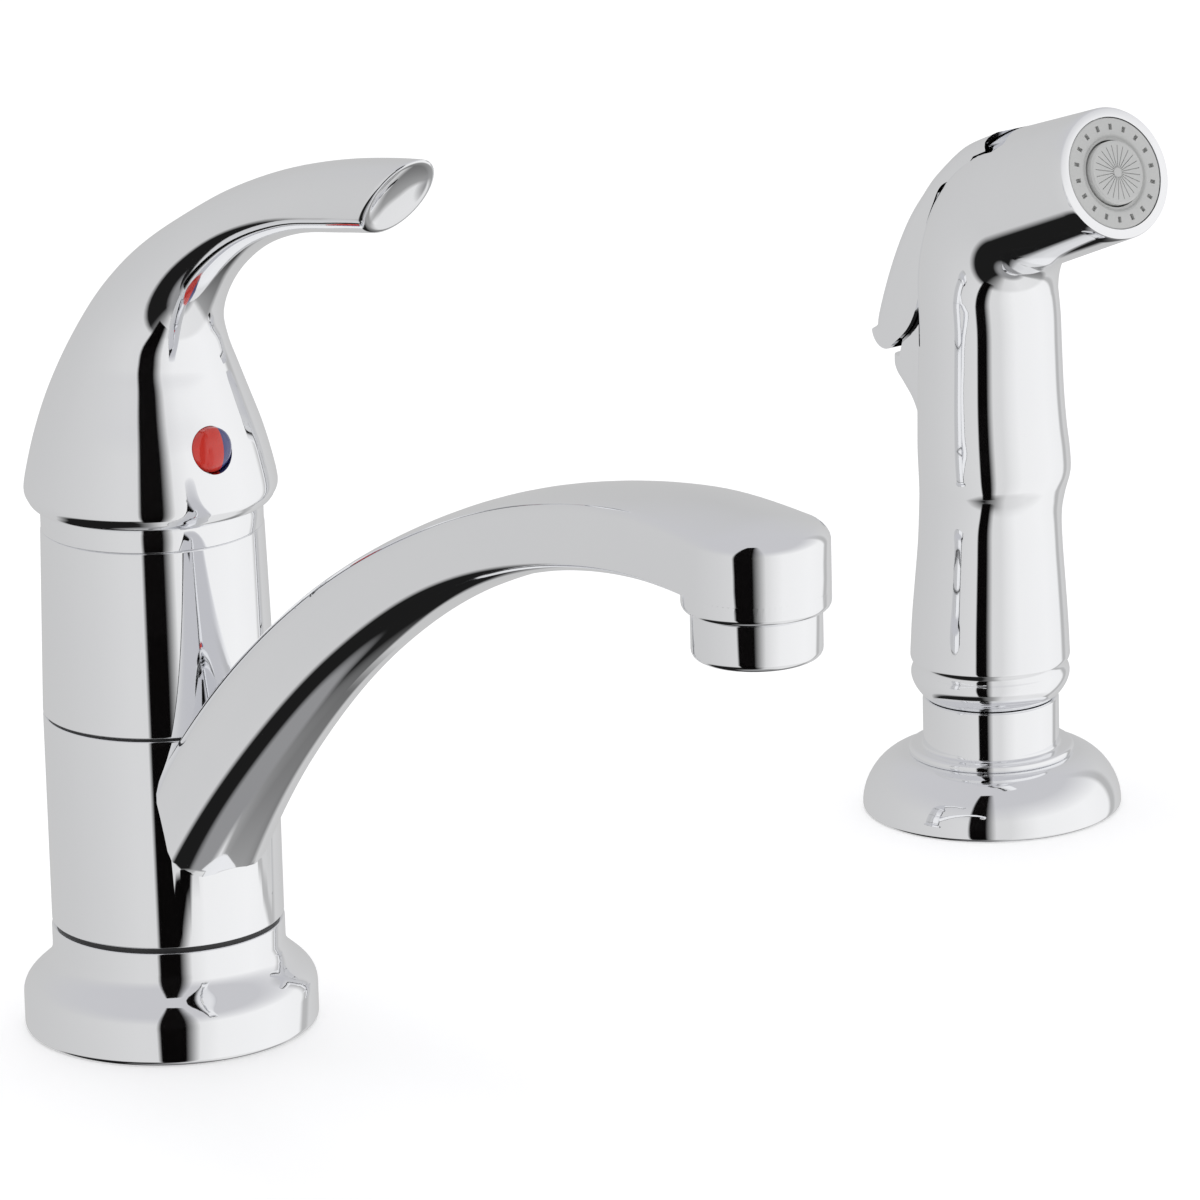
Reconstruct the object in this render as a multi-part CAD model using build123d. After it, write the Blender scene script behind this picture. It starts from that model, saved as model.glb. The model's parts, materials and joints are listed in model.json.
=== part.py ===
from build123d import *
import os
from math import asin, atan2, cos, degrees, radians, sin, sqrt, tan

# Single lever kitchen faucet with a side spray, standing on a deck at z = 0.
# The column is on the Z axis. Spout, lever and spray head point to -Y, and the spray stands at +X.

# Fits
running_clearance = 0.05
joint_clearance = 0.35
seat_clearance = 0.1

# Deck base
base_radius = 28.2
base_side_height = 6.8
base_height = 20.6
base_collar_radius = 22.3
base_collar_height = 4.2
base_plate = 4.0
gasket_thickness = 2.0
gasket_width = 7.0

# Threaded shank under the deck
shank_radius = 15.9
shank_length = 48.0
shank_bore_radius = 10.5
shank_spigot_radius = 13.0
shank_spigot_height = 12.0
deck_space = 26.0
washer_radius = 25.0
washer_thickness = 2.5
nut_flats = 42.0
nut_height = 8.0
inlet_radius = 3.8
inlet_depth = 12.0
inlet_circle_radius = 6.0

# Spout hub and the column inside it
hub_radius = 22.2
hub_height = 41.1
column_radius = 15.2
lower_ring_height = 0.9
upper_ring_height = 0.5
ring_inset = 0.7
chamber_radius = 17.6
chamber_height = 16.0
seal_section = 1.3
waterway_radius = 3.0

# Spout arm
reach = 187.0
arm_crest = 133.0
arm_root_forward = 11.3
arm_root_rise = 12.1
arm_passage_radius = 4.5
head_radius = 13.1
head_drop = 8.6
head_rise_over_crest = 7.4
head_round = 6.0
aerator_radius = 11.5
aerator_height = 8.6
aerator_wall = 1.6
aerator_thread_radius = 10.7
aerator_thread_height = 6.5
aerator_washer_height = 1.4

# Upper sleeve and bonnet
sleeve_height = 36.0
sleeve_top_radius = 21.2
cup_radius = 18.5
cup_bore_radius = 16.5
cup_floor_height = 5.0
cup_depth = 24.0
bonnet_radius = 21.1
bonnet_wall = 1.6
bonnet_ball_radius = 23.4
bonnet_opening_radius = 14.4
bonnet_spigot_height = 5.5

# Cartridge
pivot_height = 92.5
cartridge_radius = 16.2
cartridge_wall = 0.9
cartridge_base_height = 3.0
disc_height = 3.0
fixed_disc_radius = 14.6
moving_disc_radius = 11.8
carrier_height = 6.6
carrier_floor = 0.8
guide_flange_height = 3.0
guide_neck_radius = 11.2
guide_neck_top = 98.0
lip_height = 2.2
nut_bore_radius = 12.4
cartridge_nut_flats = 28.0
cartridge_nut_height = 8.5
stem_side = 8.0
stem_top = 126.0
stem_ball_radius = 3.0
stem_neck_radius = 2.2
stem_shoulder_gap = 1.6
pin_radius = 2.0
port_radius = 2.6
port_circle_radius = 7.0

# Handle
handle_lift = 25.0
rim_height = 103.7
rim_radius = 22.6
rim_round = 1.2
dome_radius = 24.0
dome_base = 107.2
button_radius = 4.3
button_height = 117.8
button_depth = 2.4
button_proud = 0.4
button_crown = 1.3
tip_forward = 86.2
tip_height = 180.4
tip_lean = 38.0
tip_dish_radius = 17.0
tip_dish_depth = 1.1
grub_radius = 2.0
grub_length = 8.0

# Side spray, holder and guide
spray_spacing = 203.2
holder_radius = 26.4
holder_height = 11.6
guide_bore_radius = 11.3
guide_shank_radius = 12.7
guide_shank_length = 42.0
guide_flange_radius = 16.9
guide_flange_thickness = 1.6
guide_collar_radius = 13.9
guide_collar_top = 23.4
holder_washer_radius = 20.0
holder_nut_radius = 19.0
holder_nut_height = 9.0

# Side spray wand
wand_tail_radius = 10.9
wand_tail_bottom = 8.0
wand_bore_radius = 5.5
groove_radius = 15.7
groove_bottom = 30.2
grip_bottom = 32.0
grip_radius = 16.3
bend_start = 109.0
bend_tube_radius = 14.2
bend_radius = 23.2
bend_forward = 0.8
head_rise = 21.0
face_distance = 41.0
wand_face_radius = 13.3
face_radius = 11.2
face_depth = 6.0
face_slot_count = 18
face_slot_circle = 9.3
spray_button_radius = 6.4
spray_button_lift = 0.8
coupling_flats = 16.0
coupling_bottom = -16.0
coupling_thread_radius = 6.6

# Side spray trigger
trigger_width = 16.0
trigger_tongue = 6.0
tongue_radius = 3.2
trigger_round = 1.5
trigger_press = 2.6
trigger_pivot_angle = 50.2
trigger_pivot_depth = 6.2
trigger_pin_radius = 1.5
fairing_round = 3.0
plunger_radius = 2.5
plunger_length = 11.0
plunger_angle = 0.0
plunger_stand = 1.7

# Heights that follow from the sizes above
hub_bottom = base_height + lower_ring_height
hub_top = hub_bottom + hub_height
sleeve_bottom = hub_top + upper_ring_height
sleeve_top = sleeve_bottom + sleeve_height
cup_floor = sleeve_bottom + cup_floor_height
cup_top = cup_floor + cup_depth
disc_bottom = cup_floor + cartridge_base_height
slider_bottom = disc_bottom + disc_height
carrier_bottom = slider_bottom + disc_height
carrier_top = carrier_bottom + carrier_height
housing_top = cup_top - 3.0
lip_bottom = housing_top - lip_height
ball_height = carrier_bottom + carrier_floor + stem_ball_radius
disc_stroke = (pivot_height - ball_height) * sin(radians(handle_lift))
hub_bore_radius = column_radius + running_clearance
nut_top = -deck_space - washer_thickness
bend_angle = 90.0 - head_rise
bend_centre = bend_forward + bend_radius
bend_back = bend_radius + bend_tube_radius
head_bottom = arm_crest - head_drop
head_top = arm_crest + head_rise_over_crest
arm_run = reach - arm_root_forward
arm_rise = arm_crest - hub_bottom - arm_root_rise
arm_radius = (arm_run ** 2 + arm_rise ** 2) / (2 * arm_rise)
arm_root_angle = degrees(asin(arm_run / arm_radius))
wand_bottom = guide_collar_top + seat_clearance

os.makedirs("parts", exist_ok=True)


def save(name, shape):
    export_step(shape, "parts/" + name + ".step")


def at_spray(shape):
    return Pos(spray_spacing, 0, 0) * shape


def tube(outer, inner, bottom, top):
    ring = Circle(outer) - Circle(inner)
    return Pos(0, 0, bottom) * extrude(ring, top - bottom)


def rod(radius, bottom, top):
    return Pos(0, 0, bottom) * extrude(Circle(radius), top - bottom)


def turned(outline):
    # A closed (radius, height) outline turned about the Z axis.
    face = make_face(outline.edges())
    return revolve(Plane.XZ * face, Axis.Z)


def hexagon_bar(flats, bottom, top):
    return Pos(0, 0, bottom) * extrude(RegularPolygon(flats / 2, 6, major_radius=False), top - bottom)


def side_profile(points, width):
    # A plate of this width, from forward distances and heights in the plane x = 0.
    plane = Plane((width / 2, 0, 0), x_dir=(0, -1, 0), z_dir=(-1, 0, 0))
    return extrude(plane * points, width)


def along_y(shape):
    # Turns a rod that stands on the Z axis so that its top points forward.
    return Rot(90, 0, 0) * shape


# Base and shank

def base_ring():
    shoulder = base_height - base_collar_height
    outline = Polyline((shank_spigot_radius + joint_clearance, 0), (base_radius - 1, 0))
    outline += JernArc((base_radius - 1, 0), (1, 0), 1, 90)
    outline += Line((base_radius, 1), (base_radius, base_side_height))
    swell = Spline(
        (base_radius, base_side_height),
        (base_radius - 1.6, 10.2),
        (base_collar_radius + 1.4, 13.4),
        (base_collar_radius, shoulder),
        tangents=((0, 1), (0, 1)),
    )
    outline += swell
    outline += Polyline(
        (base_collar_radius, shoulder),
        (base_collar_radius, base_height),
        (column_radius + joint_clearance, base_height),
        (column_radius + joint_clearance, base_plate),
        (shank_spigot_radius + joint_clearance, base_plate),
        (shank_spigot_radius + joint_clearance, 0),
    )
    ring = turned(outline)
    return ring - gasket_ring(joint_clearance)


def gasket_ring(clearance):
    middle = (shank_radius + base_radius) / 2
    half = gasket_width / 2
    return tube(middle + half + clearance, middle - half - clearance, 0, gasket_thickness)


def mounting_shank():
    outer = rod(shank_radius, -shank_length, 0) + rod(shank_spigot_radius, 0, shank_spigot_height)
    return outer - rod(shank_bore_radius, -shank_length, shank_spigot_height)


def mounting_nut():
    nut = hexagon_bar(nut_flats, nut_top - nut_height, nut_top)
    return nut - rod(shank_radius + running_clearance, nut_top - nut_height, nut_top)


def inlet_places():
    return PolarLocations(inlet_circle_radius, 3, start_angle=90)


def port_places():
    return PolarLocations(port_circle_radius, 3, start_angle=90)


def seal_heights():
    return (hub_bottom + 5, hub_top - 5)


def chamber_middle():
    return (hub_bottom + hub_top) / 2


def valve_body():
    body = rod(column_radius, base_plate, sleeve_bottom)
    body += rod(cup_radius, sleeve_bottom, cup_top)
    body -= rod(cup_bore_radius, cup_floor, cup_top)
    body -= rod(shank_spigot_radius + running_clearance, base_plate, shank_spigot_height)
    inlet_top = shank_spigot_height + inlet_depth
    for place in inlet_places():
        body -= place * rod(inlet_radius, shank_spigot_height, inlet_top)
        body -= place * rod(waterway_radius / 2, inlet_top, cup_floor)
    for height in seal_heights():
        groove = 2 * seal_section
        body -= tube(column_radius + 1, column_radius - groove, height - groove / 2, height + groove / 2)
    body -= Pos(0, 0, chamber_middle()) * along_y(rod(waterway_radius, 0, column_radius + 1))
    return body - diverter_place() * rod(diverter_radius() + running_clearance, 0, diverter_length())


def diverter_radius():
    return column_radius / 3


def diverter_length():
    return column_radius * 0.7


def diverter_place():
    # The diverter lies in the back of the column, with its open end just under the surface.
    return Pos(0, column_radius - 0.8, chamber_middle() + 8) * Rot(90, 0, 0)


def diverter_housing():
    length = diverter_length()
    sleeve = rod(diverter_radius(), 0, length - 1) - rod(diverter_radius() - 1.4, 1.4, length - 1)
    return diverter_place() * (sleeve - rod(1.8, 0, 1.4))


def diverter_piston():
    radius = diverter_radius() - 1.4 - joint_clearance / 2
    return diverter_place() * (rod(radius, 3.6, 6.6) + rod(1.5, 1.6, 3.6))


def spout_seal(height):
    middle = column_radius - seal_section
    return Pos(0, 0, height) * Torus(middle, seal_section - running_clearance)


# Spout

def arm_plane(angle):
    # A plane square to the arm's centre line, at this angle back from the outlet.
    forward = reach - arm_radius * sin(radians(angle))
    height = arm_crest - arm_radius * (1 - cos(radians(angle)))
    turn = radians(angle)
    return Plane((0, -forward, height), x_dir=(1, 0, 0), z_dir=(0, -cos(turn), sin(turn)))


def arm_section(top_width, bottom_width, height, crown, top_round, bottom_round):
    half = height / 2
    outline = Polyline(
        (top_width / 2, half - crown),
        (bottom_width / 2, -half),
        (-bottom_width / 2, -half),
        (-top_width / 2, half - crown),
    )
    outline += ThreePointArc((-top_width / 2, half - crown), (0, half), (top_width / 2, half - crown))
    face = make_face(outline.edges())
    corners = face.vertices().sort_by(Axis.Y)
    face = fillet(corners[2:], top_round)
    return fillet(face.vertices().sort_by(Axis.Y)[:2], bottom_round)


def spout_arm():
    # Share of the way from outlet to root, then top width, bottom width, height, crown and edge rounds.
    stations = (
        (1.0, 31, 17, 22, 4.0, 5, 4),
        (0.788, 25, 14.5, 20.2, 3.0, 4.5, 4),
        (0.615, 20.5, 14, 16.9, 2.4, 4, 3),
        (0.43, 18.5, 14.5, 13.8, 2.0, 3.6, 3),
        (0.247, 21.5, 18, 13.4, 2.0, 3.6, 3),
        (0.102, 24.4, 22.3, 14.2, 2.0, 3.6, 3),
        (0.0, 25.8, 25, 14.8, 2.0, 3.6, 3),
    )
    sections = []
    for share, *sizes in stations:
        sections.append(arm_plane(share * arm_root_angle) * arm_section(*sizes))
    return loft(sections)


def outlet_head():
    outline = Polyline((0, head_bottom), (head_radius - 1, head_bottom), (head_radius, head_bottom + 1))
    outline += Line((head_radius, head_bottom + 1), (head_radius, head_top - head_round))
    outline += JernArc((head_radius, head_top - head_round), (0, 1), head_round, 90)
    outline += Polyline((head_radius - head_round, head_top), (0, head_top), (0, head_bottom))
    return Pos(0, -reach, 0) * turned(outline)


def outlet_bore():
    bore = rod(aerator_thread_radius + running_clearance, head_bottom, aerator_seat())
    return Pos(0, -reach, 0) * (bore + rod(arm_passage_radius, aerator_seat(), arm_crest))


def aerator_seat():
    return head_bottom + aerator_thread_height + aerator_washer_height


def spout():
    hub = rod(hub_radius, hub_bottom, hub_top)
    body = spout_arm() + outlet_head()
    body -= rod(hub_radius + joint_clearance, hub_top, head_top)
    body += hub
    body -= rod(hub_bore_radius, hub_bottom, hub_top)
    middle = chamber_middle()
    body -= rod(chamber_radius, middle - chamber_height / 2, middle + chamber_height / 2)
    return body - outlet_bore() - arm_passage()


def arm_passage():
    # A round waterway along the arm, from the hub's chamber to the outlet.
    ring = Torus(arm_radius, arm_passage_radius)
    ring = Pos(0, -reach, arm_crest - arm_radius) * Rot(0, 90, 0) * ring
    wedge = Polyline(
        (reach, arm_crest - arm_radius),
        (reach, arm_crest + head_radius),
        (reach - 2 * arm_radius * tan(radians(0.95 * arm_root_angle)), arm_crest + arm_radius),
        (reach, arm_crest - arm_radius),
    )
    wedge = side_profile(make_face(wedge.edges()), 4 * arm_passage_radius)
    return ring & wedge


def aerator_housing():
    bottom = head_bottom - aerator_height
    shell = rod(aerator_radius, bottom, head_bottom - seat_clearance)
    shell = chamfer(shell.edges().group_by(Axis.Z)[0], 0.8)
    shell += rod(aerator_thread_radius, head_bottom - seat_clearance, head_bottom + aerator_thread_height)
    bore = aerator_thread_radius - aerator_wall
    shell -= rod(bore, bottom, head_bottom + aerator_thread_height)
    return Pos(0, -reach, 0) * shell


def aerator_insert():
    bottom = head_bottom - aerator_height + 1.2
    top = head_bottom + aerator_thread_height
    core = rod(aerator_thread_radius - aerator_wall - running_clearance, bottom, top)
    cell = 2.0
    holes = Circle(0.8)
    rings = Sketch() + [place * holes for place in HexLocations(cell, 4, 4)]
    core -= Pos(0, 0, bottom) * extrude(rings, top - bottom)
    return Pos(0, -reach, 0) * core


def aerator_washer():
    bottom = head_bottom + aerator_thread_height
    outer = aerator_thread_radius - joint_clearance
    return Pos(0, -reach, 0) * tube(outer, arm_passage_radius, bottom, bottom + aerator_washer_height)


# Sleeve, bonnet and cartridge

def body_sleeve():
    inner = cup_radius + joint_clearance
    outline = Polyline(
        (inner, sleeve_bottom),
        (hub_radius - 0.3, sleeve_bottom),
        (hub_radius, sleeve_bottom + 0.3),
        (sleeve_top_radius, sleeve_top),
        (inner, sleeve_top),
        (inner, sleeve_bottom),
    )
    return turned(outline)


def bonnet():
    # A ring over the sleeve with a rounded top, struck about the lever's pivot.
    spigot = cup_radius + joint_clearance - seat_clearance
    bore = spigot - bonnet_wall
    foot = sleeve_top - bonnet_spigot_height
    inside = bonnet_ball_radius - bonnet_wall
    outline = Polyline(
        (bore, foot),
        (spigot, foot),
        (spigot, sleeve_top),
        (bonnet_radius, sleeve_top),
        (bonnet_radius, ball_top(bonnet_ball_radius, bonnet_radius)),
    )
    outline += ball_arc(bonnet_ball_radius, bonnet_radius, bonnet_opening_radius)
    outline += Line(
        (bonnet_opening_radius, ball_top(bonnet_ball_radius, bonnet_opening_radius)),
        (bonnet_opening_radius, ball_top(inside, bonnet_opening_radius)),
    )
    outline += ball_arc(inside, bonnet_opening_radius, bore)
    outline += Line((bore, ball_top(inside, bore)), (bore, foot))
    return turned(outline)


def ball_top(ball, radius):
    return pivot_height + sqrt(ball ** 2 - radius ** 2)


def ball_arc(ball, start, end):
    middle = (start + end) / 2
    points = [(radius, ball_top(ball, radius)) for radius in (start, middle, end)]
    return ThreePointArc(*points)


def cartridge_base():
    base = rod(cartridge_radius, cup_floor, disc_bottom)
    for place in port_places():
        base -= place * rod(port_radius, cup_floor, disc_bottom)
        base -= place * rod(port_radius + 1.4, cup_floor, cup_floor + 1.2)
    return base


def cartridge_seal():
    return tube(port_radius + 1.3, port_radius, cup_floor, cup_floor + 1.2)


def fixed_disc():
    disc = rod(fixed_disc_radius, disc_bottom, slider_bottom)
    for place in port_places():
        disc -= place * rod(port_radius, disc_bottom, slider_bottom)
    return disc


def slider(bottom, top):
    return Pos(0, disc_stroke / 2, 0) * rod(moving_disc_radius, bottom, top)


def moving_disc():
    disc = slider(slider_bottom, carrier_bottom)
    pocket = SlotOverall(4 * port_radius, 2.4 * port_radius)
    return disc - Pos(0, disc_stroke / 2, slider_bottom) * extrude(pocket, disc_height / 2)


def disc_carrier():
    pocket = stem_ball_radius + joint_clearance
    floor = carrier_bottom + carrier_floor - seat_clearance
    return slider(carrier_bottom, carrier_top) - rod(pocket, floor, carrier_top)


def cartridge_housing():
    cup = rod(cartridge_radius, disc_bottom, housing_top)
    cup -= rod(cartridge_radius - cartridge_wall, disc_bottom, lip_bottom)
    return cup - rod(guide_neck_radius + joint_clearance, lip_bottom, housing_top)


def stem_guide():
    flange_top = lip_bottom - seat_clearance
    flange_radius = cartridge_radius - cartridge_wall - joint_clearance
    guide = rod(flange_radius, flange_top - guide_flange_height, flange_top)
    guide += rod(guide_neck_radius, flange_top, guide_neck_top)
    lean = tan(radians(handle_lift))
    reach_up = guide_neck_top - pivot_height
    reach_down = pivot_height - flange_top + guide_flange_height
    half = stem_side / 2 / cos(radians(handle_lift)) + joint_clearance
    slot = Polyline(
        (half, reach_up + 1),
        (half + lean * reach_down, -reach_down - 1),
        (-half, -reach_down - 1),
        (-half - lean * reach_up, reach_up + 1),
        (half, reach_up + 1),
    )
    slot = side_profile(make_face(slot.edges()), stem_side + 2 * joint_clearance)
    guide -= Pos(0, 0, pivot_height) * slot
    return guide - Pos(0, 0, pivot_height) * cross_rod(pin_radius, 2 * guide_neck_radius)


def cross_rod(radius, length):
    return Rot(0, 90, 0) * rod(radius, -length / 2, length / 2)


def stem_pin():
    length = 2 * sqrt(guide_neck_radius ** 2 - pin_radius ** 2) - seat_clearance
    return Pos(0, 0, pivot_height) * cross_rod(pin_radius, length)


def cartridge_stem():
    shoulder = carrier_top + stem_shoulder_gap
    stem = Pos(0, 0, ball_height) * Sphere(stem_ball_radius)
    stem += rod(stem_neck_radius, ball_height, shoulder)
    stem += Pos(0, 0, shoulder) * extrude(Rectangle(stem_side, stem_side), stem_top - shoulder)
    return stem - Pos(0, 0, pivot_height) * cross_rod(pin_radius + running_clearance, 2 * stem_side)


def cartridge_nut():
    top = housing_top + cartridge_nut_height
    nut = rod(cup_bore_radius - running_clearance, housing_top, cup_top)
    nut += hexagon_bar(cartridge_nut_flats, cup_top, top)
    return nut - rod(nut_bore_radius, housing_top, top)


# Handle

def handle_plane(forward, height, lean):
    return Plane((0, -forward, height), x_dir=(1, 0, 0), z_dir=(0, -sin(radians(lean)), cos(radians(lean))))


def lever_stations():
    # Forward distance, height, lean from upright, half width and half depth of each section.
    return (
        (0, dome_base, 0, dome_radius, dome_radius),
        (0, 112.0, 0, 23.1, 23.1),
        (0, 118.0, 0, 21.5, 21.5),
        (0.1, 124.5, 1, 19.3, 19.2),
        (0.9, 130.5, 4, 17.0, 16.7),
        (2.6, 136.5, 12, 14.6, 13.8),
        (6.3, 143.2, 27, 12.2, 11.0),
        (13.2, 150.6, 43, 10.5, 8.6),
        (23.0, 158.0, 55, 9.2, 6.8),
        (36.0, 165.4, 65, 8.2, 6.0),
        (51.0, 171.2, 72, 7.5, 6.0),
        (67.0, 175.4, 77, 7.1, 6.6),
        (83.0, 178.8, 79, 7.0, 6.9),
        (100.0, 181.8, 80, 6.7, 6.5),
    )


def lever_form():
    stations = lever_stations()
    sections = []
    for forward, height, lean, half_width, half_depth in stations:
        section = Ellipse(half_width, half_depth)
        sections.append(handle_plane(forward, height, lean) * section)
    return loft(sections)


def handle_rim():
    outline = Polyline((0, rim_height), (rim_radius - rim_round, rim_height))
    outline += Spline(
        (rim_radius - rim_round, rim_height),
        (rim_radius + 0.4, rim_height + 0.9),
        (dome_radius, dome_base),
        tangents=((1, 0), (0, 1)),
    )
    outline += Polyline((dome_radius, dome_base), (0, dome_base), (0, rim_height))
    return turned(outline)


def tip_cut():
    # What lies beyond the lever's oblique end, and the shallow dish in that end.
    lean = radians(tip_lean)
    end = Plane((0, -tip_forward, tip_height), x_dir=(1, 0, 0), z_dir=(0, -cos(lean), -sin(lean)))
    block = extrude(Rectangle(2 * dome_radius, 2 * dome_radius), dome_radius)
    dish = Pos(0, 0, tip_dish_radius - tip_dish_depth) * Sphere(tip_dish_radius)
    return end * (block + dish)


def handle():
    body = lever_form() + handle_rim() - tip_cut()
    body -= Pos(0, 0, pivot_height) * Sphere(bonnet_ball_radius + joint_clearance)
    body -= Pos(0, 0, rim_height) * extrude(Rectangle(stem_hole(), stem_hole()), stem_top + 1 - rim_height)
    body -= front_hole(grub_radius + running_clearance, 2 * rim_radius)
    return body - front_hole(button_radius + seat_clearance, 2 * rim_radius, button_floor())


def stem_hole():
    return stem_side + 2 * running_clearance


def lever_front():
    # How far forward the lever's skin is at the button's height.
    stations = lever_stations()
    for low, high in zip(stations, stations[1:]):
        if high[1] >= button_height:
            share = (button_height - low[1]) / (high[1] - low[1])
            return (1 - share) * (low[0] + low[4]) + share * (high[0] + high[4])


def button_floor():
    return lever_front() - button_depth


def front_hole(radius, length, start=0.0):
    return Pos(0, 0, button_height) * along_y(rod(radius, start, length))


def index_button():
    # A plug with a domed face that stands a little proud of the lever.
    rim = lever_front() + button_proud
    ball = (button_radius ** 2 + button_crown ** 2) / (2 * button_crown)
    plug = front_hole(button_radius, rim + 2 * button_crown, button_floor())
    return plug & Pos(0, ball - rim - button_crown, button_height) * Sphere(ball)


def handle_set_screw():
    start = stem_side / 2 + seat_clearance
    return front_hole(grub_radius, start + grub_length, start)


# Side spray holder

def spray_holder():
    outline = Polyline((guide_shank_radius + joint_clearance, 0), (holder_radius - 0.6, 0))
    outline += JernArc((holder_radius - 0.6, 0), (1, 0), 0.6, 90)
    outline += Spline(
        (holder_radius, 0.6),
        (holder_radius - 1.2, 5.4),
        (holder_radius - 3.4, 8.9),
        (guide_flange_radius + 1.2, holder_height),
        tangents=((0, 1), (-1, 0.1)),
    )
    outline += Polyline(
        (guide_flange_radius + 1.2, holder_height),
        (guide_shank_radius + joint_clearance, holder_height),
        (guide_shank_radius + joint_clearance, 0),
    )
    return turned(outline) - holder_gasket(joint_clearance)


def holder_gasket(clearance):
    middle = (guide_shank_radius + holder_radius) / 2
    half = gasket_width / 2
    return tube(middle + half + clearance, middle - half - clearance, 0, gasket_thickness)


def spray_guide():
    flange_top = holder_height + guide_flange_thickness
    body = rod(guide_shank_radius, -guide_shank_length, holder_height)
    flange = rod(guide_flange_radius, holder_height, flange_top)
    body += fillet(flange.edges().group_by(Axis.Z)[-1], 0.7)
    body += rod(guide_collar_radius, flange_top, guide_collar_top)
    return body - rod(guide_bore_radius, -guide_shank_length, guide_collar_top)


def holder_nut():
    nut = rod(holder_nut_radius, nut_top - holder_nut_height, nut_top)
    wing = Rectangle(2.4 * holder_nut_radius, 4)
    nut += Pos(0, 0, nut_top - holder_nut_height) * extrude(wing, holder_nut_height)
    return nut - rod(guide_shank_radius + running_clearance, nut_top - holder_nut_height, nut_top)


# Side spray wand

def bend_point(angle, radius):
    # Forward distance and height of a point this far from the bend's centre.
    forward = bend_centre - radius * cos(radians(angle))
    height = bend_start + radius * sin(radians(angle))
    return forward, height


def face_centre():
    forward, height = bend_point(bend_angle, bend_radius)
    rise = (face_distance - forward) * tan(radians(head_rise))
    return face_distance, height + rise


def face_plane():
    forward, height = face_centre()
    return handle_plane(forward, height, bend_angle)


def wand_form():
    # The waisted grip, the bend, and the head that narrows to its face.
    # Height, radius and forward shift of each section of the grip.
    stations = (
        (grip_bottom, grip_radius, 0.0),
        (40.0, 15.9, 0.1),
        (48.0, 15.3, 0.3),
        (56.0, 14.7, 0.5),
        (62.5, 14.5, 0.7),
        (67.0, 14.8, 1.4),
        (71.5, 15.4, 2.2),
        (76.0, 15.4, 2.0),
        (81.0, 15.1, 1.6),
        (88.0, 14.8, 1.3),
        (97.0, 14.5, 1.3),
        (104.0, 14.3, 1.3),
        (bend_start, bend_tube_radius, bend_forward),
    )
    grip = loft([Pos(0, -shift, height) * Circle(radius) for height, radius, shift in stations])
    mouth = Pos(0, -bend_forward, bend_start) * Circle(bend_tube_radius)
    bend = revolve(mouth, Axis((0, -bend_centre, bend_start), (1, 0, 0)), bend_angle)
    start = handle_plane(*bend_point(bend_angle, bend_radius), bend_angle)
    head = loft([start * Circle(bend_tube_radius), face_plane() * Circle(wand_face_radius)])
    return grip + bend + head


def wand_foot():
    outline = Polyline((0, wand_tail_bottom), (wand_tail_radius, wand_tail_bottom))
    outline += Polyline((wand_tail_radius, wand_tail_bottom), (wand_tail_radius, wand_bottom))
    outline += Line((wand_tail_radius, wand_bottom), (guide_collar_radius - 0.7, wand_bottom))
    outline += Spline(
        (guide_collar_radius - 0.7, wand_bottom),
        (grip_radius + 0.1, (wand_bottom + groove_bottom) / 2),
        (groove_radius, groove_bottom),
        tangents=((0.4, 1), (-1, 0.2)),
    )
    outline += Polyline(
        (groove_radius, groove_bottom),
        (groove_radius, grip_bottom - 1),
        (grip_radius - 0.3, grip_bottom - 0.6),
        (grip_radius, grip_bottom),
        (0, grip_bottom),
        (0, wand_tail_bottom),
    )
    return turned(outline)


def bend_line(rows):
    # Points from bend angles and distances outside the bend's back.
    return [bend_point(angle, bend_back + lift) for angle, lift in rows]


def trigger_crest():
    rows = (
        (72, -1.4),
        (56, -1.2),
        (40, 0.5),
        (30, 1.6),
        (20, 3.3),
        (10, 5.4),
        (0, 8.3),
        (-9, 11.8),
        (-12.9, 13.2),
    )
    return bend_line(rows)


def trigger_hollow(clearance=0.0):
    # The trigger's inside, or a line this far from it on the wand's side and at its ends.
    rows = ((-18.7, 9.5), (-13.5, 6.4), (-3, 4.2), (11, 2.1), (22, 0.8), (32, -0.5), (41, -2.4), (52, -5.2))
    spread = degrees(clearance / bend_back)
    spreads = (-spread, *[0.0] * (len(rows) - 2), spread)
    return bend_line([(row[0] + more, row[1] - clearance) for row, more in zip(rows, spreads)])


def back_fairing():
    # The raised back under the trigger, with a swell below the trigger's lip.
    foot = ((-10.0, 76.0), (-13.4, 80.0), (-15.7, 83.7), (-18.3, 86.3), (-20.9, 88.9), (-21.6, 92.5))
    rail = bend_line(((-8, 7.3), (4, 4.3), (16, 2.7), (28, 1.6), (40, -0.8)))
    outline = Spline(*foot, *rail) + Polyline(rail[-1], (0, bend_start), foot[0])
    plate = side_profile(make_face(outline.edges()), trigger_width)
    edges = plate.edges().filter_by(GeomType.BSPLINE)
    return fillet(edges, fairing_round)


def trigger_side():
    # The trigger's side view: over the bend and down the back, with a lip at its lower end.
    outer = Spline(*trigger_crest())
    inner = Spline(*trigger_hollow())
    lip = bend_point(-16.4, bend_back + 12.7)
    outline = outer + ThreePointArc(outer @ 1, lip, inner @ 0)
    outline += inner
    outline += Line(inner @ 1, outer @ 0)
    return make_face(outline.edges())


def pivot_point():
    return bend_point(trigger_pivot_angle, bend_back - trigger_pivot_depth)


def tongue_side(grow):
    # An eye about the pivot, and a neck from it out to the trigger's back.
    middle = bend_point(trigger_pivot_angle, bend_back - trigger_pivot_depth / 2 - tongue_radius / 2)
    neck = Rectangle(trigger_pivot_depth - tongue_radius, 2 * (tongue_radius + grow))
    neck = Rot(0, 0, 180 - trigger_pivot_angle) * neck
    return Pos(*pivot_point()) * Circle(tongue_radius + grow) + Pos(*middle) * neck


def trigger_pivot():
    forward, height = pivot_point()
    return Pos(0, -forward, height)


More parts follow.
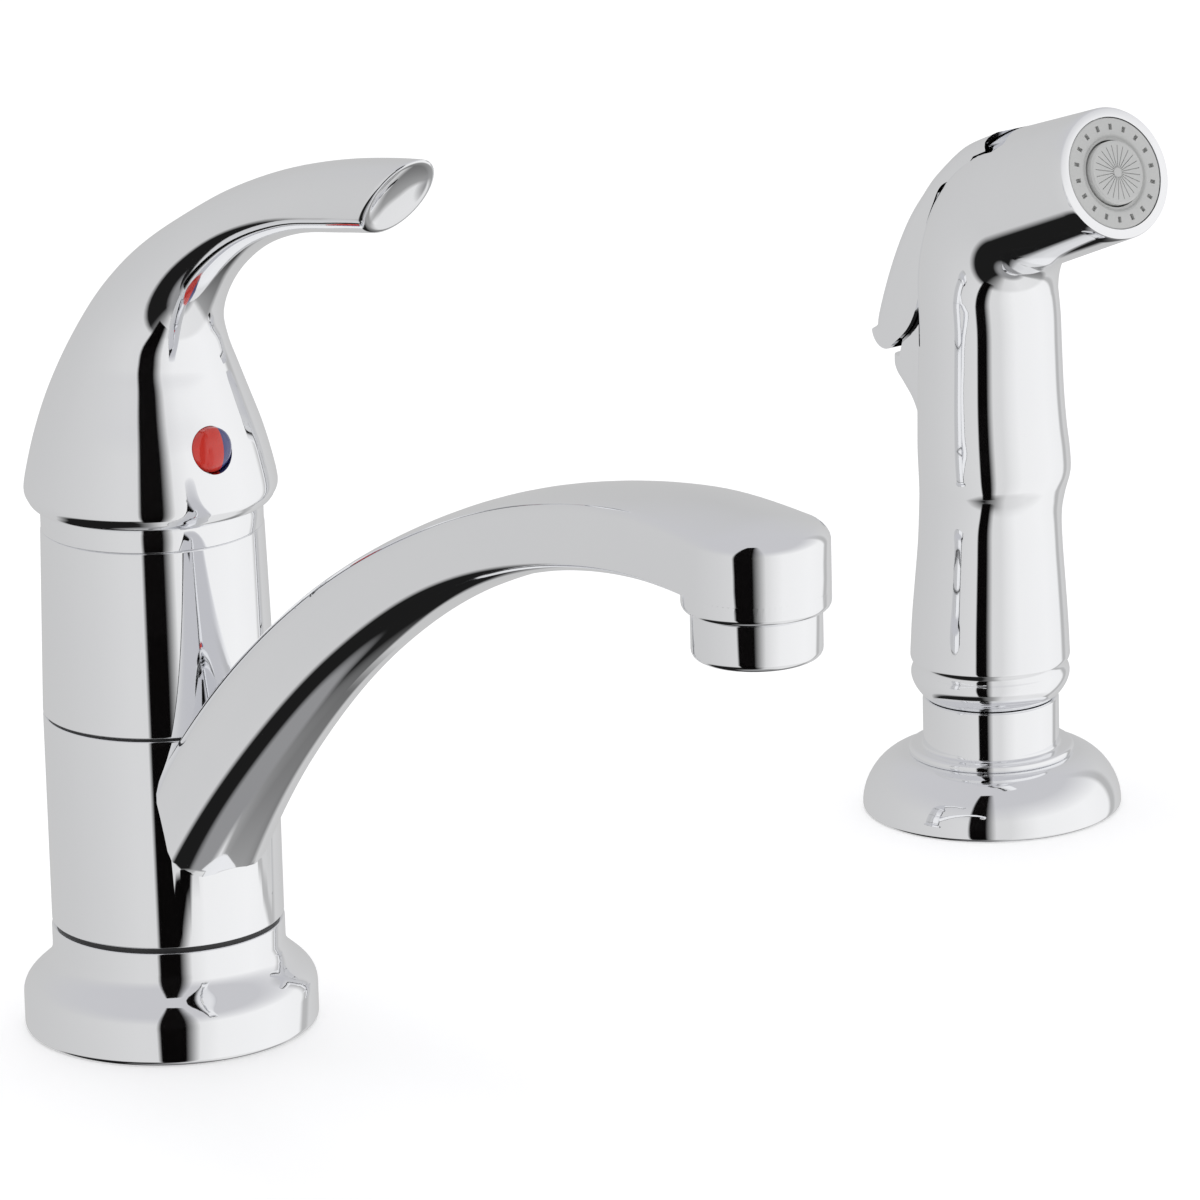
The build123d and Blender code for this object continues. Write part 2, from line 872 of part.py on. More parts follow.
def trigger_room(angle):
    # The room for the trigger when it is pressed by this angle, open to the outside.
    floor = trigger_hollow(joint_clearance)
    outside = 2 * bend_tube_radius
    nose = Vector(*trigger_crest()[0]) + Vector(joint_clearance, 0)
    lip = bend_point(-17.4, bend_back + 13.6)
    outline = Spline(*floor) + Polyline(
        floor[-1],
        nose,
        nose + Vector(-outside / 8, outside),
        Vector(*lip) + Vector(-outside, outside),
        lip,
        floor[0],
    )
    pivot = Vector(*pivot_point())
    turn = Pos(pivot.X, pivot.Y) * Rot(0, 0, angle) * Pos(-pivot.X, -pivot.Y)
    return turn * make_face(outline.edges())


def trigger_recess():
    # What the trigger passes over from rest to fully pressed, and the slot for its tongue.
    wide = trigger_width + 2 * joint_clearance
    swing = joint_clearance + 2 * tongue_radius * tan(radians(trigger_press))
    cut = side_profile(tongue_side(swing), trigger_tongue + 2 * joint_clearance)
    for share in (0, 0.5, 1):
        cut += side_profile(trigger_room(share * trigger_press), wide)
    return cut


def spray_trigger():
    bar = side_profile(trigger_side(), trigger_width)
    crest = bar.edges().filter_by(GeomType.BSPLINE).sort_by(SortBy.LENGTH)[-2:]
    bar = fillet(crest, trigger_round)
    bar += side_profile(tongue_side(0), trigger_tongue)
    return bar - trigger_pivot() * cross_rod(trigger_pin_radius + running_clearance, trigger_width)


def trigger_pin():
    return trigger_pivot() * cross_rod(trigger_pin_radius, trigger_width - 2)


def plunger_point():
    return bend_point(plunger_angle, bend_back + plunger_stand)


def plunger_arm():
    return Vector(*plunger_point()) - Vector(*pivot_point())


def plunger_plane():
    # The plunger lies along the path of the trigger's back, square to its arm from the pivot.
    arm = plunger_arm()
    return handle_plane(*plunger_point(), degrees(atan2(-arm.Y, arm.X)))


def plunger_travel():
    return radians(trigger_press) * plunger_arm().length


def valve_plunger():
    return plunger_plane() * rod(plunger_radius, joint_clearance, plunger_length)


def wand_body():
    body = wand_form() + wand_foot() + back_fairing()
    body -= trigger_recess()
    body -= rod(wand_bore_radius, wand_tail_bottom, bend_start + wand_bore_radius)
    face = face_plane()
    body -= face * rod(face_radius + seat_clearance, -face_depth, 1)
    waterway = face_distance / cos(radians(head_rise))
    body -= face * rod(wand_bore_radius, -waterway + wand_bore_radius, -face_depth)
    depth = plunger_length + plunger_travel() + seat_clearance
    body -= plunger_plane() * rod(plunger_radius + running_clearance, -3, depth)
    return body - trigger_pivot() * cross_rod(trigger_pin_radius, trigger_width - 2)


def spray_face():
    disc = rod(face_radius, -face_depth, 0) - rod(spray_button_radius + joint_clearance, -face_depth + 2, 0)
    slot = Pos(face_slot_circle, 0, 0) * Rectangle(1.2, 0.8)
    for step in range(face_slot_count):
        disc -= Rot(0, 0, step * 360 / face_slot_count) * extrude(slot, -2)
    return face_plane() * (disc - rod(wand_bore_radius / 2, -face_depth, -face_depth + 2))


def spray_button():
    knob = rod(spray_button_radius, -face_depth + 2, spray_button_lift)
    return face_plane() * fillet(knob.edges().group_by(Axis.Z)[-1], 0.4)


def hose_coupling():
    top = wand_tail_bottom - seat_clearance
    nut = hexagon_bar(coupling_flats, top - 9, top)
    nut += rod(coupling_thread_radius, coupling_bottom, top - 9)
    nut += rod(wand_bore_radius - running_clearance, top, top + 6)
    return nut - rod(3.2, coupling_bottom, top + 6)


def faucet_nodes():
    return {
        "base_ring": base_ring(),
        "deck_gasket": gasket_ring(0),
        "mounting_shank": mounting_shank(),
        "mounting_washer": tube(washer_radius, shank_radius + joint_clearance, nut_top, -deck_space),
        "mounting_nut": mounting_nut(),
        "valve_body": valve_body(),
        "diverter_housing": diverter_housing(),
        "diverter_piston": diverter_piston(),
        "lower_bearing_ring": tube(hub_radius - ring_inset, hub_bore_radius, base_height, hub_bottom),
        "upper_bearing_ring": tube(hub_radius - ring_inset, hub_bore_radius, hub_top, sleeve_bottom),
        "spout_seals": Compound(children=[spout_seal(height) for height in seal_heights()]),
        "spout": spout(),
        "aerator_housing": aerator_housing(),
        "aerator_insert": aerator_insert(),
        "aerator_washer": aerator_washer(),
        "body_sleeve": body_sleeve(),
        "bonnet": bonnet(),
        "cartridge_base": cartridge_base(),
        "cartridge_seals": Compound(children=[place * cartridge_seal() for place in port_places()]),
        "fixed_disc": fixed_disc(),
        "moving_disc": moving_disc(),
        "disc_carrier": disc_carrier(),
        "cartridge_housing": cartridge_housing(),
        "stem_guide": stem_guide(),
        "stem_pin": stem_pin(),
        "cartridge_stem": cartridge_stem(),
        "cartridge_nut": cartridge_nut(),
        "handle": handle(),
        "handle_set_screw": handle_set_screw(),
        "index_button": index_button(),
    }


def spray_nodes():
    washer_hole = guide_shank_radius + joint_clearance
    return {
        "spray_holder": spray_holder(),
        "holder_gasket": holder_gasket(0),
        "spray_guide": spray_guide(),
        "holder_washer": tube(holder_washer_radius, washer_hole, nut_top, -deck_space),
        "holder_nut": holder_nut(),
        "wand_body": wand_body(),
        "spray_face": spray_face(),
        "spray_button": spray_button(),
        "spray_trigger": spray_trigger(),
        "trigger_pin": trigger_pin(),
        "valve_plunger": valve_plunger(),
        "hose_coupling": hose_coupling(),
    }


for name, shape in faucet_nodes().items():
    save(name, shape)
for name, shape in spray_nodes().items():
    save(name, at_spray(shape))
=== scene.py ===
import json
from math import asin, cos, pi, radians, sin, sqrt, tan

import bmesh
import bpy
from mathutils import Matrix, Vector
from mathutils.geometry import interpolate_bezier


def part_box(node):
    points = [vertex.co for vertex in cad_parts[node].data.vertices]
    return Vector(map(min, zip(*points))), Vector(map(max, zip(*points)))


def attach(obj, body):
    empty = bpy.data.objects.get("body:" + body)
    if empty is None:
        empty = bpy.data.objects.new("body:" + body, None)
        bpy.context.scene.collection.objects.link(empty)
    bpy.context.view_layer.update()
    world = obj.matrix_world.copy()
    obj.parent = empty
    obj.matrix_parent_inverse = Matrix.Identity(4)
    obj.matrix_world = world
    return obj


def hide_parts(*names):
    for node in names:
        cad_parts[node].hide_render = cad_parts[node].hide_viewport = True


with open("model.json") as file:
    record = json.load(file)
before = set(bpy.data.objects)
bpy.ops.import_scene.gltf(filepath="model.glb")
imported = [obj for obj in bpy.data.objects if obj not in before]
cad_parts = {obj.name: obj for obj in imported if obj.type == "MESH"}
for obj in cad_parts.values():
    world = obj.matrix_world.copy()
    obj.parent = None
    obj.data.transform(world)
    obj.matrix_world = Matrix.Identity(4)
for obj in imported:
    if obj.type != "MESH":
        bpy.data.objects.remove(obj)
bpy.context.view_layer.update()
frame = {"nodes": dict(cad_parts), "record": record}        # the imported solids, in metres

nodes = frame["nodes"]
mm = 0.001  # pieces are modelled in millimetres and made metres when they are settled
turnSteps, curveSteps, roundSteps = 160, 16, 5
mergeGap, tiny = 0.0004, 0.001
sortAxis = Vector((1.0, 0.618, 0.2718))
sprayX = (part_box("spray_holder")[0].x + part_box("spray_holder")[1].x) / 2 / mm
print("frame loaded:", len(nodes), "nodes, spray at", round(sprayX, 1), "mm")


# Shader helpers

class Signal:
    def __init__(self, tree, socket=None):
        self.tree = tree
        self.socket = socket

    def node(self, kind, settings=None, inputs=None, output=0):
        made = self.tree.nodes.new(kind)
        for key, value in (settings or {}).items():
            if key == "stops":
                self.fillRamp(made.color_ramp, value)
            else:
                setattr(made, key, value)
        for key, value in (inputs or {}).items():
            if isinstance(value, Signal):
                self.tree.links.new(value.socket, made.inputs[key])
            else:
                made.inputs[key].default_value = value
        return Signal(self.tree, made.outputs[output])

    def fillRamp(self, ramp, stops):
        ramp.elements.remove(ramp.elements[1])
        ramp.elements[0].position, ramp.elements[0].color = stops[0]
        for place, colour in stops[1:]:
            ramp.elements.new(place).color = colour

    def maths(self, operation, first, second=0.0):
        return self.node("ShaderNodeMath", {"operation": operation}, {0: first, 1: second})

    def __add__(self, other):
        return self.maths("ADD", self, other)

    def __radd__(self, other):
        return self.maths("ADD", other, self)

    def __sub__(self, other):
        return self.maths("SUBTRACT", self, other)

    def __rsub__(self, other):
        return self.maths("SUBTRACT", other, self)

    def __mul__(self, other):
        return self.maths("MULTIPLY", self, other)

    def __rmul__(self, other):
        return self.maths("MULTIPLY", other, self)

    def over(self, limit):
        return self.maths("GREATER_THAN", self, limit)

    def objectPoint(self):
        return self.node("ShaderNodeTexCoord", output="Object")

    def noise(self, point, scale, detail=2.0):
        return self.node("ShaderNodeTexNoise", None, {"Vector": point, "Scale": scale, "Detail": detail})

    def mix(self, share, first, second):
        return self.node("ShaderNodeMix", {"data_type": "RGBA"}, {0: share, 6: first, 7: second}, output=2)

    def stretch(self, point, scale):
        return self.node("ShaderNodeMapping", None, {"Vector": point, "Scale": scale})

    def bump(self, height, distance, strength=1.0):
        return self.node("ShaderNodeBump", None, {"Height": height, "Distance": distance, "Strength": strength})


def newFinish(name, constants):
    material = bpy.data.materials.new(name)
    material.use_nodes = True
    shader = material.node_tree.nodes["Principled BSDF"]
    for key, value in constants.items():
        shader.inputs[key].default_value = value
    return material, Signal(material.node_tree), shader.inputs


def feed(sheet, signal, socket):
    sheet.tree.links.new(signal.socket, socket)


# Finishes

def chromeFinish():
    look = {"bright": (0.93, 0.935, 0.945, 1), "film": (0.90, 0.905, 0.925, 1), "filmScale": 38.0,
            "smear": 120.0, "rough": 0.018, "roughSpread": 0.035, "wave": 26.0, "waveDepth": 0.00004}
    material, sheet, inputs = newFinish("polishedChrome", {"Metallic": 1.0})
    point = sheet.objectPoint()
    film = sheet.noise(point, look["filmScale"], 3.0)
    feed(sheet, sheet.mix(film, look["bright"], look["film"]), inputs["Base Color"])
    smear = sheet.noise(sheet.stretch(point, (1.0, 1.0, 0.35)), look["smear"], 4.0)
    feed(sheet, smear * look["roughSpread"] + look["rough"], inputs["Roughness"])
    wave = sheet.noise(point, look["wave"], 1.0)
    feed(sheet, sheet.bump(wave, look["waveDepth"]), inputs["Normal"])
    return material


def metalFinish(name, dark, light, rough, grain):
    # turned or drawn metal, with lathe lines round the Z axis
    look = {"patina": 45.0, "lineDepth": 0.00003, "spread": 0.14}
    material, sheet, inputs = newFinish(name, {"Metallic": 1.0})
    point = sheet.objectPoint()
    patina = sheet.noise(point, look["patina"], 5.0)
    feed(sheet, sheet.mix(patina, dark, light), inputs["Base Color"])
    lines = sheet.noise(sheet.stretch(point, (0.02, 0.02, 1.0)), grain, 2.0)
    feed(sheet, lines * look["spread"] + rough, inputs["Roughness"])
    feed(sheet, sheet.bump(lines, look["lineDepth"]), inputs["Normal"])
    return material


def mouldedFinish(name, shade, light, rough, grainScale, grainDepth, coat=0.0):
    look = {"cloud": 70.0, "spread": 0.12}
    material, sheet, inputs = newFinish(name, {"Coat Weight": coat, "Coat Roughness": 0.08})
    point = sheet.objectPoint()
    cloud = sheet.noise(point, look["cloud"], 3.0)
    feed(sheet, sheet.mix(cloud, shade, light), inputs["Base Color"])
    grain = sheet.noise(point, grainScale, 3.0)
    feed(sheet, grain * look["spread"] + rough, inputs["Roughness"])
    feed(sheet, sheet.bump(grain, grainDepth), inputs["Normal"])
    return material


def indexFinish():
    # hot on the left of the button, cold on the right
    look = {"hot": (0.62, 0.022, 0.016, 1), "hotLight": (0.74, 0.05, 0.03, 1), "cold": (0.045, 0.05, 0.2, 1),
            "split": 0.0012, "speck": 900.0, "rough": 0.16}
    material, sheet, inputs = newFinish("indexEnamel", {"Coat Weight": 0.6, "Coat Roughness": 0.05})
    point = sheet.objectPoint()
    cloud = sheet.noise(point, look["speck"] / 3, 2.0)
    hot = sheet.mix(cloud, look["hot"], look["hotLight"])
    across = sheet.node("ShaderNodeSeparateXYZ", None, {"Vector": point}, output="X")
    feed(sheet, sheet.mix(across.over(look["split"]), hot, look["cold"]), inputs["Base Color"])
    grain = sheet.noise(point, look["speck"], 2.0)
    feed(sheet, grain * 0.1 + look["rough"], inputs["Roughness"])
    return material


chrome = chromeFinish()
brass = metalFinish("turnedBrass", (0.52, 0.36, 0.15, 1), (0.68, 0.50, 0.24, 1), 0.22, 900.0)
steel = metalFinish("drawnSteel", (0.46, 0.47, 0.48, 1), (0.58, 0.59, 0.6, 1), 0.26, 1200.0)
rubber = mouldedFinish("blackRubber", (0.012, 0.012, 0.012, 1), (0.025, 0.025, 0.026, 1), 0.6, 1500.0, 0.00004)
blackPlastic = mouldedFinish("blackAcetal", (0.014, 0.014, 0.015, 1), (0.03, 0.03, 0.032, 1), 0.34, 1800.0, 0.00002)
whitePlastic = mouldedFinish("whiteAcetal", (0.70, 0.70, 0.67, 1), (0.78, 0.78, 0.75, 1), 0.36, 1500.0, 0.00002)
greyPlastic = mouldedFinish("greySatin", (0.54, 0.545, 0.535, 1), (0.61, 0.615, 0.605, 1), 0.38, 2600.0, 0.00003)
ceramic = mouldedFinish("lappedCeramic", (0.78, 0.75, 0.70, 1), (0.84, 0.82, 0.78, 1), 0.12, 3000.0, 0.00001, 0.3)
indexEnamel = indexFinish()
finishOf = {"chrome": chrome, "brass": brass, "steel": steel, "black_rubber": rubber,
            "black_plastic": blackPlastic, "white_plastic": whitePlastic, "grey_plastic": greyPlastic,
            "ceramic": ceramic, "index_plastic": indexEnamel}
print("finishes made:", len(finishOf))


# Modelling helpers

def steady(bm):
    # sorts by place along a slanted axis, so that every run gives the same mesh
    bm.verts.sort(key=lambda v: v.co.dot(sortAxis))
    bm.edges.sort(key=lambda e: (e.verts[0].co + e.verts[1].co).dot(sortAxis))
    bm.faces.sort(key=lambda f: f.calc_center_median().dot(sortAxis))


def drawOutline(bm, steps, place, closed=True):
    # a step is a corner, a corner with its round, or two handles and an end
    verts, rounds, last = [], [], None
    for step in steps:
        if isinstance(step[0], tuple):
            knots = [Vector(last), Vector(step[0]), Vector(step[1]), Vector(step[2])]
            for point in interpolate_bezier(*knots, curveSteps)[1:]:
                verts.append(bm.verts.new(place(point.x, point.y)))
            last = step[2]
        else:
            last = step[:2]
            verts.append(bm.verts.new(place(*last)))
            if len(step) == 3:
                rounds.append((verts[-1], step[2]))
    for first, second in zip(verts, verts[1:]):
        bm.edges.new((first, second))
    if closed:
        bm.edges.new((verts[-1], verts[0]))
    for vert, size in rounds:
        roundOff(bm, [vert], size, "VERTICES")
    steady(bm)


def roundOff(bm, geom, size, affect):
    bmesh.ops.bevel(bm, geom=geom, offset=size, offset_type="OFFSET", segments=roundSteps, profile=0.5,
                    affect=affect, material=-1)


def turned(steps, x=0.0, y=0.0, closed=True, count=turnSteps):
    bm = bmesh.new()
    drawOutline(bm, steps, lambda r, z: (x + r, y, z), closed)
    bmesh.ops.spin(bm, geom=bm.verts[:] + bm.edges[:], cent=(x, y, 0), axis=(0, 0, 1), angle=2 * pi,
                   steps=count, use_merge=True)
    return bm


def asObject(bm, name):
    steady(bm)
    bmesh.ops.remove_doubles(bm, verts=bm.verts, dist=mergeGap)
    bmesh.ops.recalc_face_normals(bm, faces=bm.faces)
    steady(bm)
    mesh = bpy.data.meshes.new(name)
    bm.to_mesh(mesh)
    bm.free()
    obj = bpy.data.objects.new(name, mesh)
    bpy.context.scene.collection.objects.link(obj)
    return obj


def carve(obj, tool, operation="DIFFERENCE"):
    step = obj.modifiers.new("carve", "BOOLEAN")
    step.operation = operation
    step.solver = "EXACT"
    step.object = tool
    graph = bpy.context.evaluated_depsgraph_get()
    made = bpy.data.meshes.new_from_object(obj.evaluated_get(graph))
    obj.modifiers.clear()
    obj.data = made
    bpy.data.objects.remove(tool)
    return obj


def settle(obj, body, slot, replaced, sharp=32.0):
    obj.data.transform(Matrix.Scale(mm, 4))
    obj.data.shade_smooth()
    obj.data.set_sharp_from_angle(angle=radians(sharp))
    obj.data.materials.clear()
    obj.data.materials.append(finishOf[slot])
    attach(obj, body)
    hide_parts(*replaced)
    print("piece settled:", obj.name, len(obj.data.polygons), "faces")
    return obj


def smoothRow(rows, at):
    # values between rows of (key, value, value...), eased by the slopes of the neighbours
    last = len(rows) - 1
    low = max(k for k in range(last) if k == 0 or rows[k][0] <= at)

    def slope(k, column):
        before, after = rows[max(k - 1, 0)], rows[min(k + 1, last)]
        return (after[column] - before[column]) / (after[0] - before[0])

    span = rows[low + 1][0] - rows[low][0]
    t = (at - rows[low][0]) / span
    values = []
    for column in range(1, len(rows[0])):
        start, end = rows[low][column], rows[low + 1][column]
        rise = slope(low, column) * span * t * (1 - t) ** 2 - slope(low + 1, column) * span * t * t * (1 - t)
        values.append(start + (end - start) * t * t * (3 - 2 * t) + rise)
    return values


def onlyVerts(geom):
    return [part for part in geom if isinstance(part, bmesh.types.BMVert)]


def ringEdges(verts):
    members = set(verts)
    linked = dict.fromkeys(e for v in verts for e in v.link_edges)
    return [e for e in linked if e.verts[0] in members and e.verts[1] in members]


def leanMatrix(forward, height, lean):
    # places a flat loop so that its normal leans forward from upright
    return Matrix.Translation((0, -forward, height)) @ Matrix.Rotation(radians(lean), 4, "X")


def growEdges(bm, edges):
    return onlyVerts(bmesh.ops.extrude_edge_only(bm, edges=edges)["geom"])


def bridge(bm, loops):
    for first, second in zip(loops, loops[1:]):
        bmesh.ops.bridge_loops(bm, edges=first + second)


# Deck base, sleeve and bonnet

baseSize = {"radius": 28.2, "side": 6.8, "neck": 22.3, "neckBottom": 16.4, "top": 20.6, "bore": 15.55,
            "plate": 4.0, "plateBore": 13.35, "gasket": (18.2, 25.9, 2.0), "footRound": 1.2, "topRound": 0.35,
            "lowPull": 4.6, "highPull": 4.4}  # the pulls shape the curve from side to neck


def makeBase():
    s = baseSize
    inner, outer, deep = s["gasket"]
    steps = [(s["plateBore"], 0), (inner, 0), (inner, deep), (outer, deep), (outer, 0),
             (s["radius"], 0, s["footRound"]), (s["radius"], s["side"]),
             ((s["radius"], s["side"] + s["lowPull"]), (s["neck"], s["neckBottom"] - s["highPull"]),
              (s["neck"], s["neckBottom"])),
             (s["neck"], s["top"], s["topRound"]), (s["bore"], s["top"]), (s["bore"], s["plate"]),
             (s["plateBore"], s["plate"])]
    settle(asObject(turned(steps), "baseRing"), "fixed", "chrome", ["base_ring"])


sleeveSize = {"bottom": 63.1, "top": 99.1, "low": 22.2, "high": 21.2, "bore": 18.85, "edge": 0.3}
bonnetSize = {"radius": 21.1, "spigot": 18.75, "foot": 93.6, "wall": 1.6, "ball": 23.4, "pivot": 92.5,
              "opening": 14.4, "edge": 0.25, "arcSteps": 8}


def makeSleeve():
    s = sleeveSize
    steps = [(s["bore"], s["bottom"]), (s["low"], s["bottom"], s["edge"]), (s["high"], s["top"], s["edge"]),
             (s["bore"], s["top"])]
    settle(asObject(turned(steps), "bodySleeve"), "fixed", "chrome", ["body_sleeve"])


def makeBonnet():
    s = bonnetSize
    bore = s["spigot"] - s["wall"]
    inside = s["ball"] - s["wall"]

    def ballArc(ball, start, end):
        count = s["arcSteps"]
        radii = [start + (end - start) * k / count for k in range(count + 1)]
        return [(r, s["pivot"] + sqrt(ball ** 2 - r ** 2)) for r in radii]

    steps = [(bore, s["foot"]), (s["spigot"], s["foot"]), (s["spigot"], sleeveSize["top"]),
             (s["radius"], sleeveSize["top"], s["edge"])]
    steps += ballArc(s["ball"], s["radius"], s["opening"]) + ballArc(inside, s["opening"], bore)
    settle(asObject(turned(steps), "bonnet"), "fixed", "chrome", ["bonnet"])


# Spout: hub, arm and outlet

hubSize = {"radius": 22.2, "bottom": 21.5, "top": 62.6, "bore": 15.25, "chamber": 17.6, "chamberHalf": 8.0,
           "edge": 0.35, "sink": 20.6, "clear": 22.55, "lap": 0.01, "notchTop": 160}
armSize = {"reach": 187.0, "radius": 205.0, "crest": 133.0, "loops": 72, "endSteps": 40, "topCuts": 9,
           "bottomCuts": 5, "sideCuts": 2, "endMerge": 0.01}
# angle back from the outlet, top width, bottom width, height above and below the middle, crown of the top,
# and the rounds of the top and bottom edges
armRows = [(0.0, 26.2, 26.2, 8.2, 5.2, 2.8, 2.4, 0.3), (6.0, 24.5, 22.5, 8.8, 5.2, 2.2, 1.9, 1.8),
           (14.6, 21.5, 18.0, 8.7, 5.6, 2.0, 1.8, 3.2), (25.4, 18.5, 15.0, 8.5, 6.5, 2.0, 2.0, 5.2),
           (36.3, 20.5, 15.0, 9.4, 8.3, 2.4, 2.6, 6.0), (46.5, 25.0, 17.0, 10.2, 9.2, 3.0, 3.6, 6.6),
           (59.0, 31.0, 22.0, 11.0, 7.8, 4.0, 5.0, 7.0)]
outletSize = {"radius": 13.08, "bottom": 124.4, "top": 131.0, "bore": 10.75, "boreTop": 132.3, "edge": 1.4,
              "past": 5}


def armSection(angle):
    s = armSize
    top, bottom, above, below, crown, topRound, bottomRound = smoothRow(armRows, angle)
    bm = bmesh.new()
    steps = [(top / 2, above, topRound), (bottom / 2, -below, bottomRound), (-bottom / 2, -below, bottomRound),
             (-top / 2, above, topRound)]
    drawOutline(bm, steps, lambda x, y: (x, y, 0))
    for edge in bm.edges[:]:
        level = [v.co.y for v in edge.verts]
        if min(level) > above - tiny:
            bmesh.ops.subdivide_edges(bm, edges=[edge], cuts=s["topCuts"])
        elif max(level) < tiny - below:
            bmesh.ops.subdivide_edges(bm, edges=[edge], cuts=s["bottomCuts"])
        elif max(level) > above - topRound - 1 and min(level) < bottomRound + 1 - below:
            bmesh.ops.subdivide_edges(bm, edges=[edge], cuts=s["sideCuts"])
    for v in bm.verts:
        v.co.y -= crown * (2 * v.co.x / top) ** 2 * (v.co.y + below) / (above + below)
    turn = radians(angle)
    forward = s["reach"] - s["radius"] * sin(turn)
    rise = s["crest"] - s["radius"] * (1 - cos(turn))
    stand = Matrix.Translation((0, -forward, rise)) @ Matrix.Rotation(pi / 2 - turn, 4, "X")
    bmesh.ops.transform(bm, matrix=stand, verts=bm.verts)
    return bm


def addLoop(bm, loop):
    # joins a loop drawn by itself to the mesh, and gives its vertices there
    before = len(bm.verts)
    mesh = bpy.data.meshes.new("loop")
    loop.to_mesh(mesh)
    loop.free()
    bm.from_mesh(mesh)
    bpy.data.meshes.remove(mesh)
    return bm.verts[:][before:]


def makeArm():
    s = armSize
    bm = bmesh.new()
    count, last = s["loops"], armRows[-1][0]
    rings = [addLoop(bm, armSection(last * k / count)) for k in range(count + 1)]
    loops = [ringEdges(ring) for ring in rings]
    halfRing = [v for v in rings[0] if v.co.x > -tiny]
    halfEdges = ringEdges(halfRing)
    bridge(bm, loops)
    bmesh.ops.edgeloop_fill(bm, edges=loops[-1])
    bmesh.ops.spin(bm, geom=halfRing + halfEdges, cent=(0, -s["reach"], 0), axis=(0, 0, 1), angle=-pi,
                   steps=s["endSteps"], use_merge=False)
    bmesh.ops.remove_doubles(bm, verts=bm.verts, dist=s["endMerge"])
    return asObject(bm, "spout")


def makeSpout():
    h, o, outletY = hubSize, outletSize, -armSize["reach"]
    middle, lap = (h["bottom"] + h["top"]) / 2, h["top"] + h["lap"]
    spout = makeArm()
    notch = [(0, 0), (h["sink"], 0), (h["sink"], lap), (h["clear"], lap), (h["clear"], h["notchTop"]),
             (0, h["notchTop"])]
    carve(spout, asObject(turned(notch, closed=False), "notch"))
    hub = [(h["bore"], h["bottom"]), (h["radius"], h["bottom"], h["edge"]), (h["radius"], h["top"], h["edge"]),
           (h["bore"], h["top"]), (h["bore"], middle + h["chamberHalf"]), (h["chamber"], middle + h["chamberHalf"]),
           (h["chamber"], middle - h["chamberHalf"]), (h["bore"], middle - h["chamberHalf"])]
    carve(spout, asObject(turned(hub), "hub"), "UNION")
    outlet = [(0, o["bottom"]), (o["radius"], o["bottom"], o["edge"]), (o["radius"], o["top"]), (0, o["top"])]
    carve(spout, asObject(turned(outlet, y=outletY, closed=False), "outlet"), "UNION")
    low = o["bottom"] - o["past"]
    bore = [(0, low), (o["bore"], low), (o["bore"], o["boreTop"]), (0, o["boreTop"])]
    carve(spout, asObject(turned(bore, y=outletY, closed=False), "bore"))
    settle(spout, "spout", "chrome", ["spout"])


aeratorSize = {"radius": 11.5, "bottom": 115.8, "top": 124.3, "thread": 10.7, "threadTop": 130.9, "bore": 9.1,
               "lip": 8.4, "lipThick": 1.0, "edge": 1.5, "fineEdge": 0.3}


def makeAerator():
    s = aeratorSize
    lipTop = s["bottom"] + s["lipThick"]
    steps = [(s["lip"], s["bottom"], s["fineEdge"]), (s["radius"], s["bottom"], s["edge"]),
             (s["radius"], s["top"], s["fineEdge"]), (s["thread"], s["top"]), (s["thread"], s["threadTop"]),
             (s["bore"], s["threadTop"]), (s["bore"], lipTop), (s["lip"], lipTop)]
    settle(asObject(turned(steps, y=-armSize["reach"]), "aeratorHousing"), "spout", "chrome", ["aerator_housing"])


# Lever handle and its index button

handleRim = [(0, 103.7, 0, 21.4, 21.4), (0, 103.95, 0, 22.5, 22.5), (0, 105.1, 0, 23.4, 23.4)]
# forward, height, lean from upright, half width and half depth
leverRows = [(0, 107.2, 0, 24.0, 24.0), (0, 112.0, 0, 23.1, 23.1), (0, 118.0, 0, 21.5, 21.5),
             (0.1, 124.5, 1, 19.3, 19.2), (0.9, 130.5, 4, 17.0, 16.7), (2.6, 136.5, 12, 14.6, 13.8),
             (6.3, 143.2, 27, 12.2, 11.0), (13.2, 150.6, 43, 10.5, 8.6), (23.0, 158.0, 55, 9.2, 6.8),
             (36.0, 165.4, 65, 8.2, 6.0), (51.0, 171.2, 72, 7.5, 6.0), (67.0, 175.1, 77, 7.1, 6.6),
             (83.0, 178.1, 79, 7.0, 6.8), (100.0, 180.9, 80, 6.7, 6.4)]
handleSize = {"segments": 96, "loopsPerRow": 6, "cavity": 23.75, "pivot": 92.5, "stem": 8.1, "stemTop": 127.0,
              "tipForward": 86.2, "tipHeight": 180.4, "tipLean": 38.0, "tipLoops": 16, "tipRound": 0.9,
              "dishLoops": 8, "dishDepth": 1.1, "cavityLoops": 12, "halvings": 24, "stemPast": 10}
buttonSize = {"radius": 4.3, "height": 117.8, "floor": 19.15, "face": 21.95, "crown": 1.5, "clear": 0.1,
              "grub": 2.05, "past": 40, "edge": 0.8, "segments": 64}


def ellipse(bm, forward, height, lean, halfWidth, halfDepth):
    place = leanMatrix(forward, height, lean) @ Matrix.Diagonal((halfWidth, halfDepth, 1, 1))
    made = bmesh.ops.create_circle(bm, cap_ends=False, radius=1, segments=handleSize["segments"], matrix=place)
    return made["verts"]


def forwardRod(radius, start, end, height, name):
    bm = bmesh.new()
    place = Matrix.Translation((0, -(start + end) / 2, height)) @ Matrix.Rotation(pi / 2, 4, "X")
    bmesh.ops.create_cone(bm, cap_ends=True, radius1=radius, radius2=radius, depth=end - start,
                          segments=buttonSize["segments"], matrix=place)
    return asObject(bm, name)


def leverPoint(rows, at, spot):
    forward, height, lean, halfWidth, halfDepth = smoothRow(rows, at)
    return leanMatrix(forward, height, lean) @ Vector((spot[0] * halfWidth, spot[1] * halfDepth, 0))


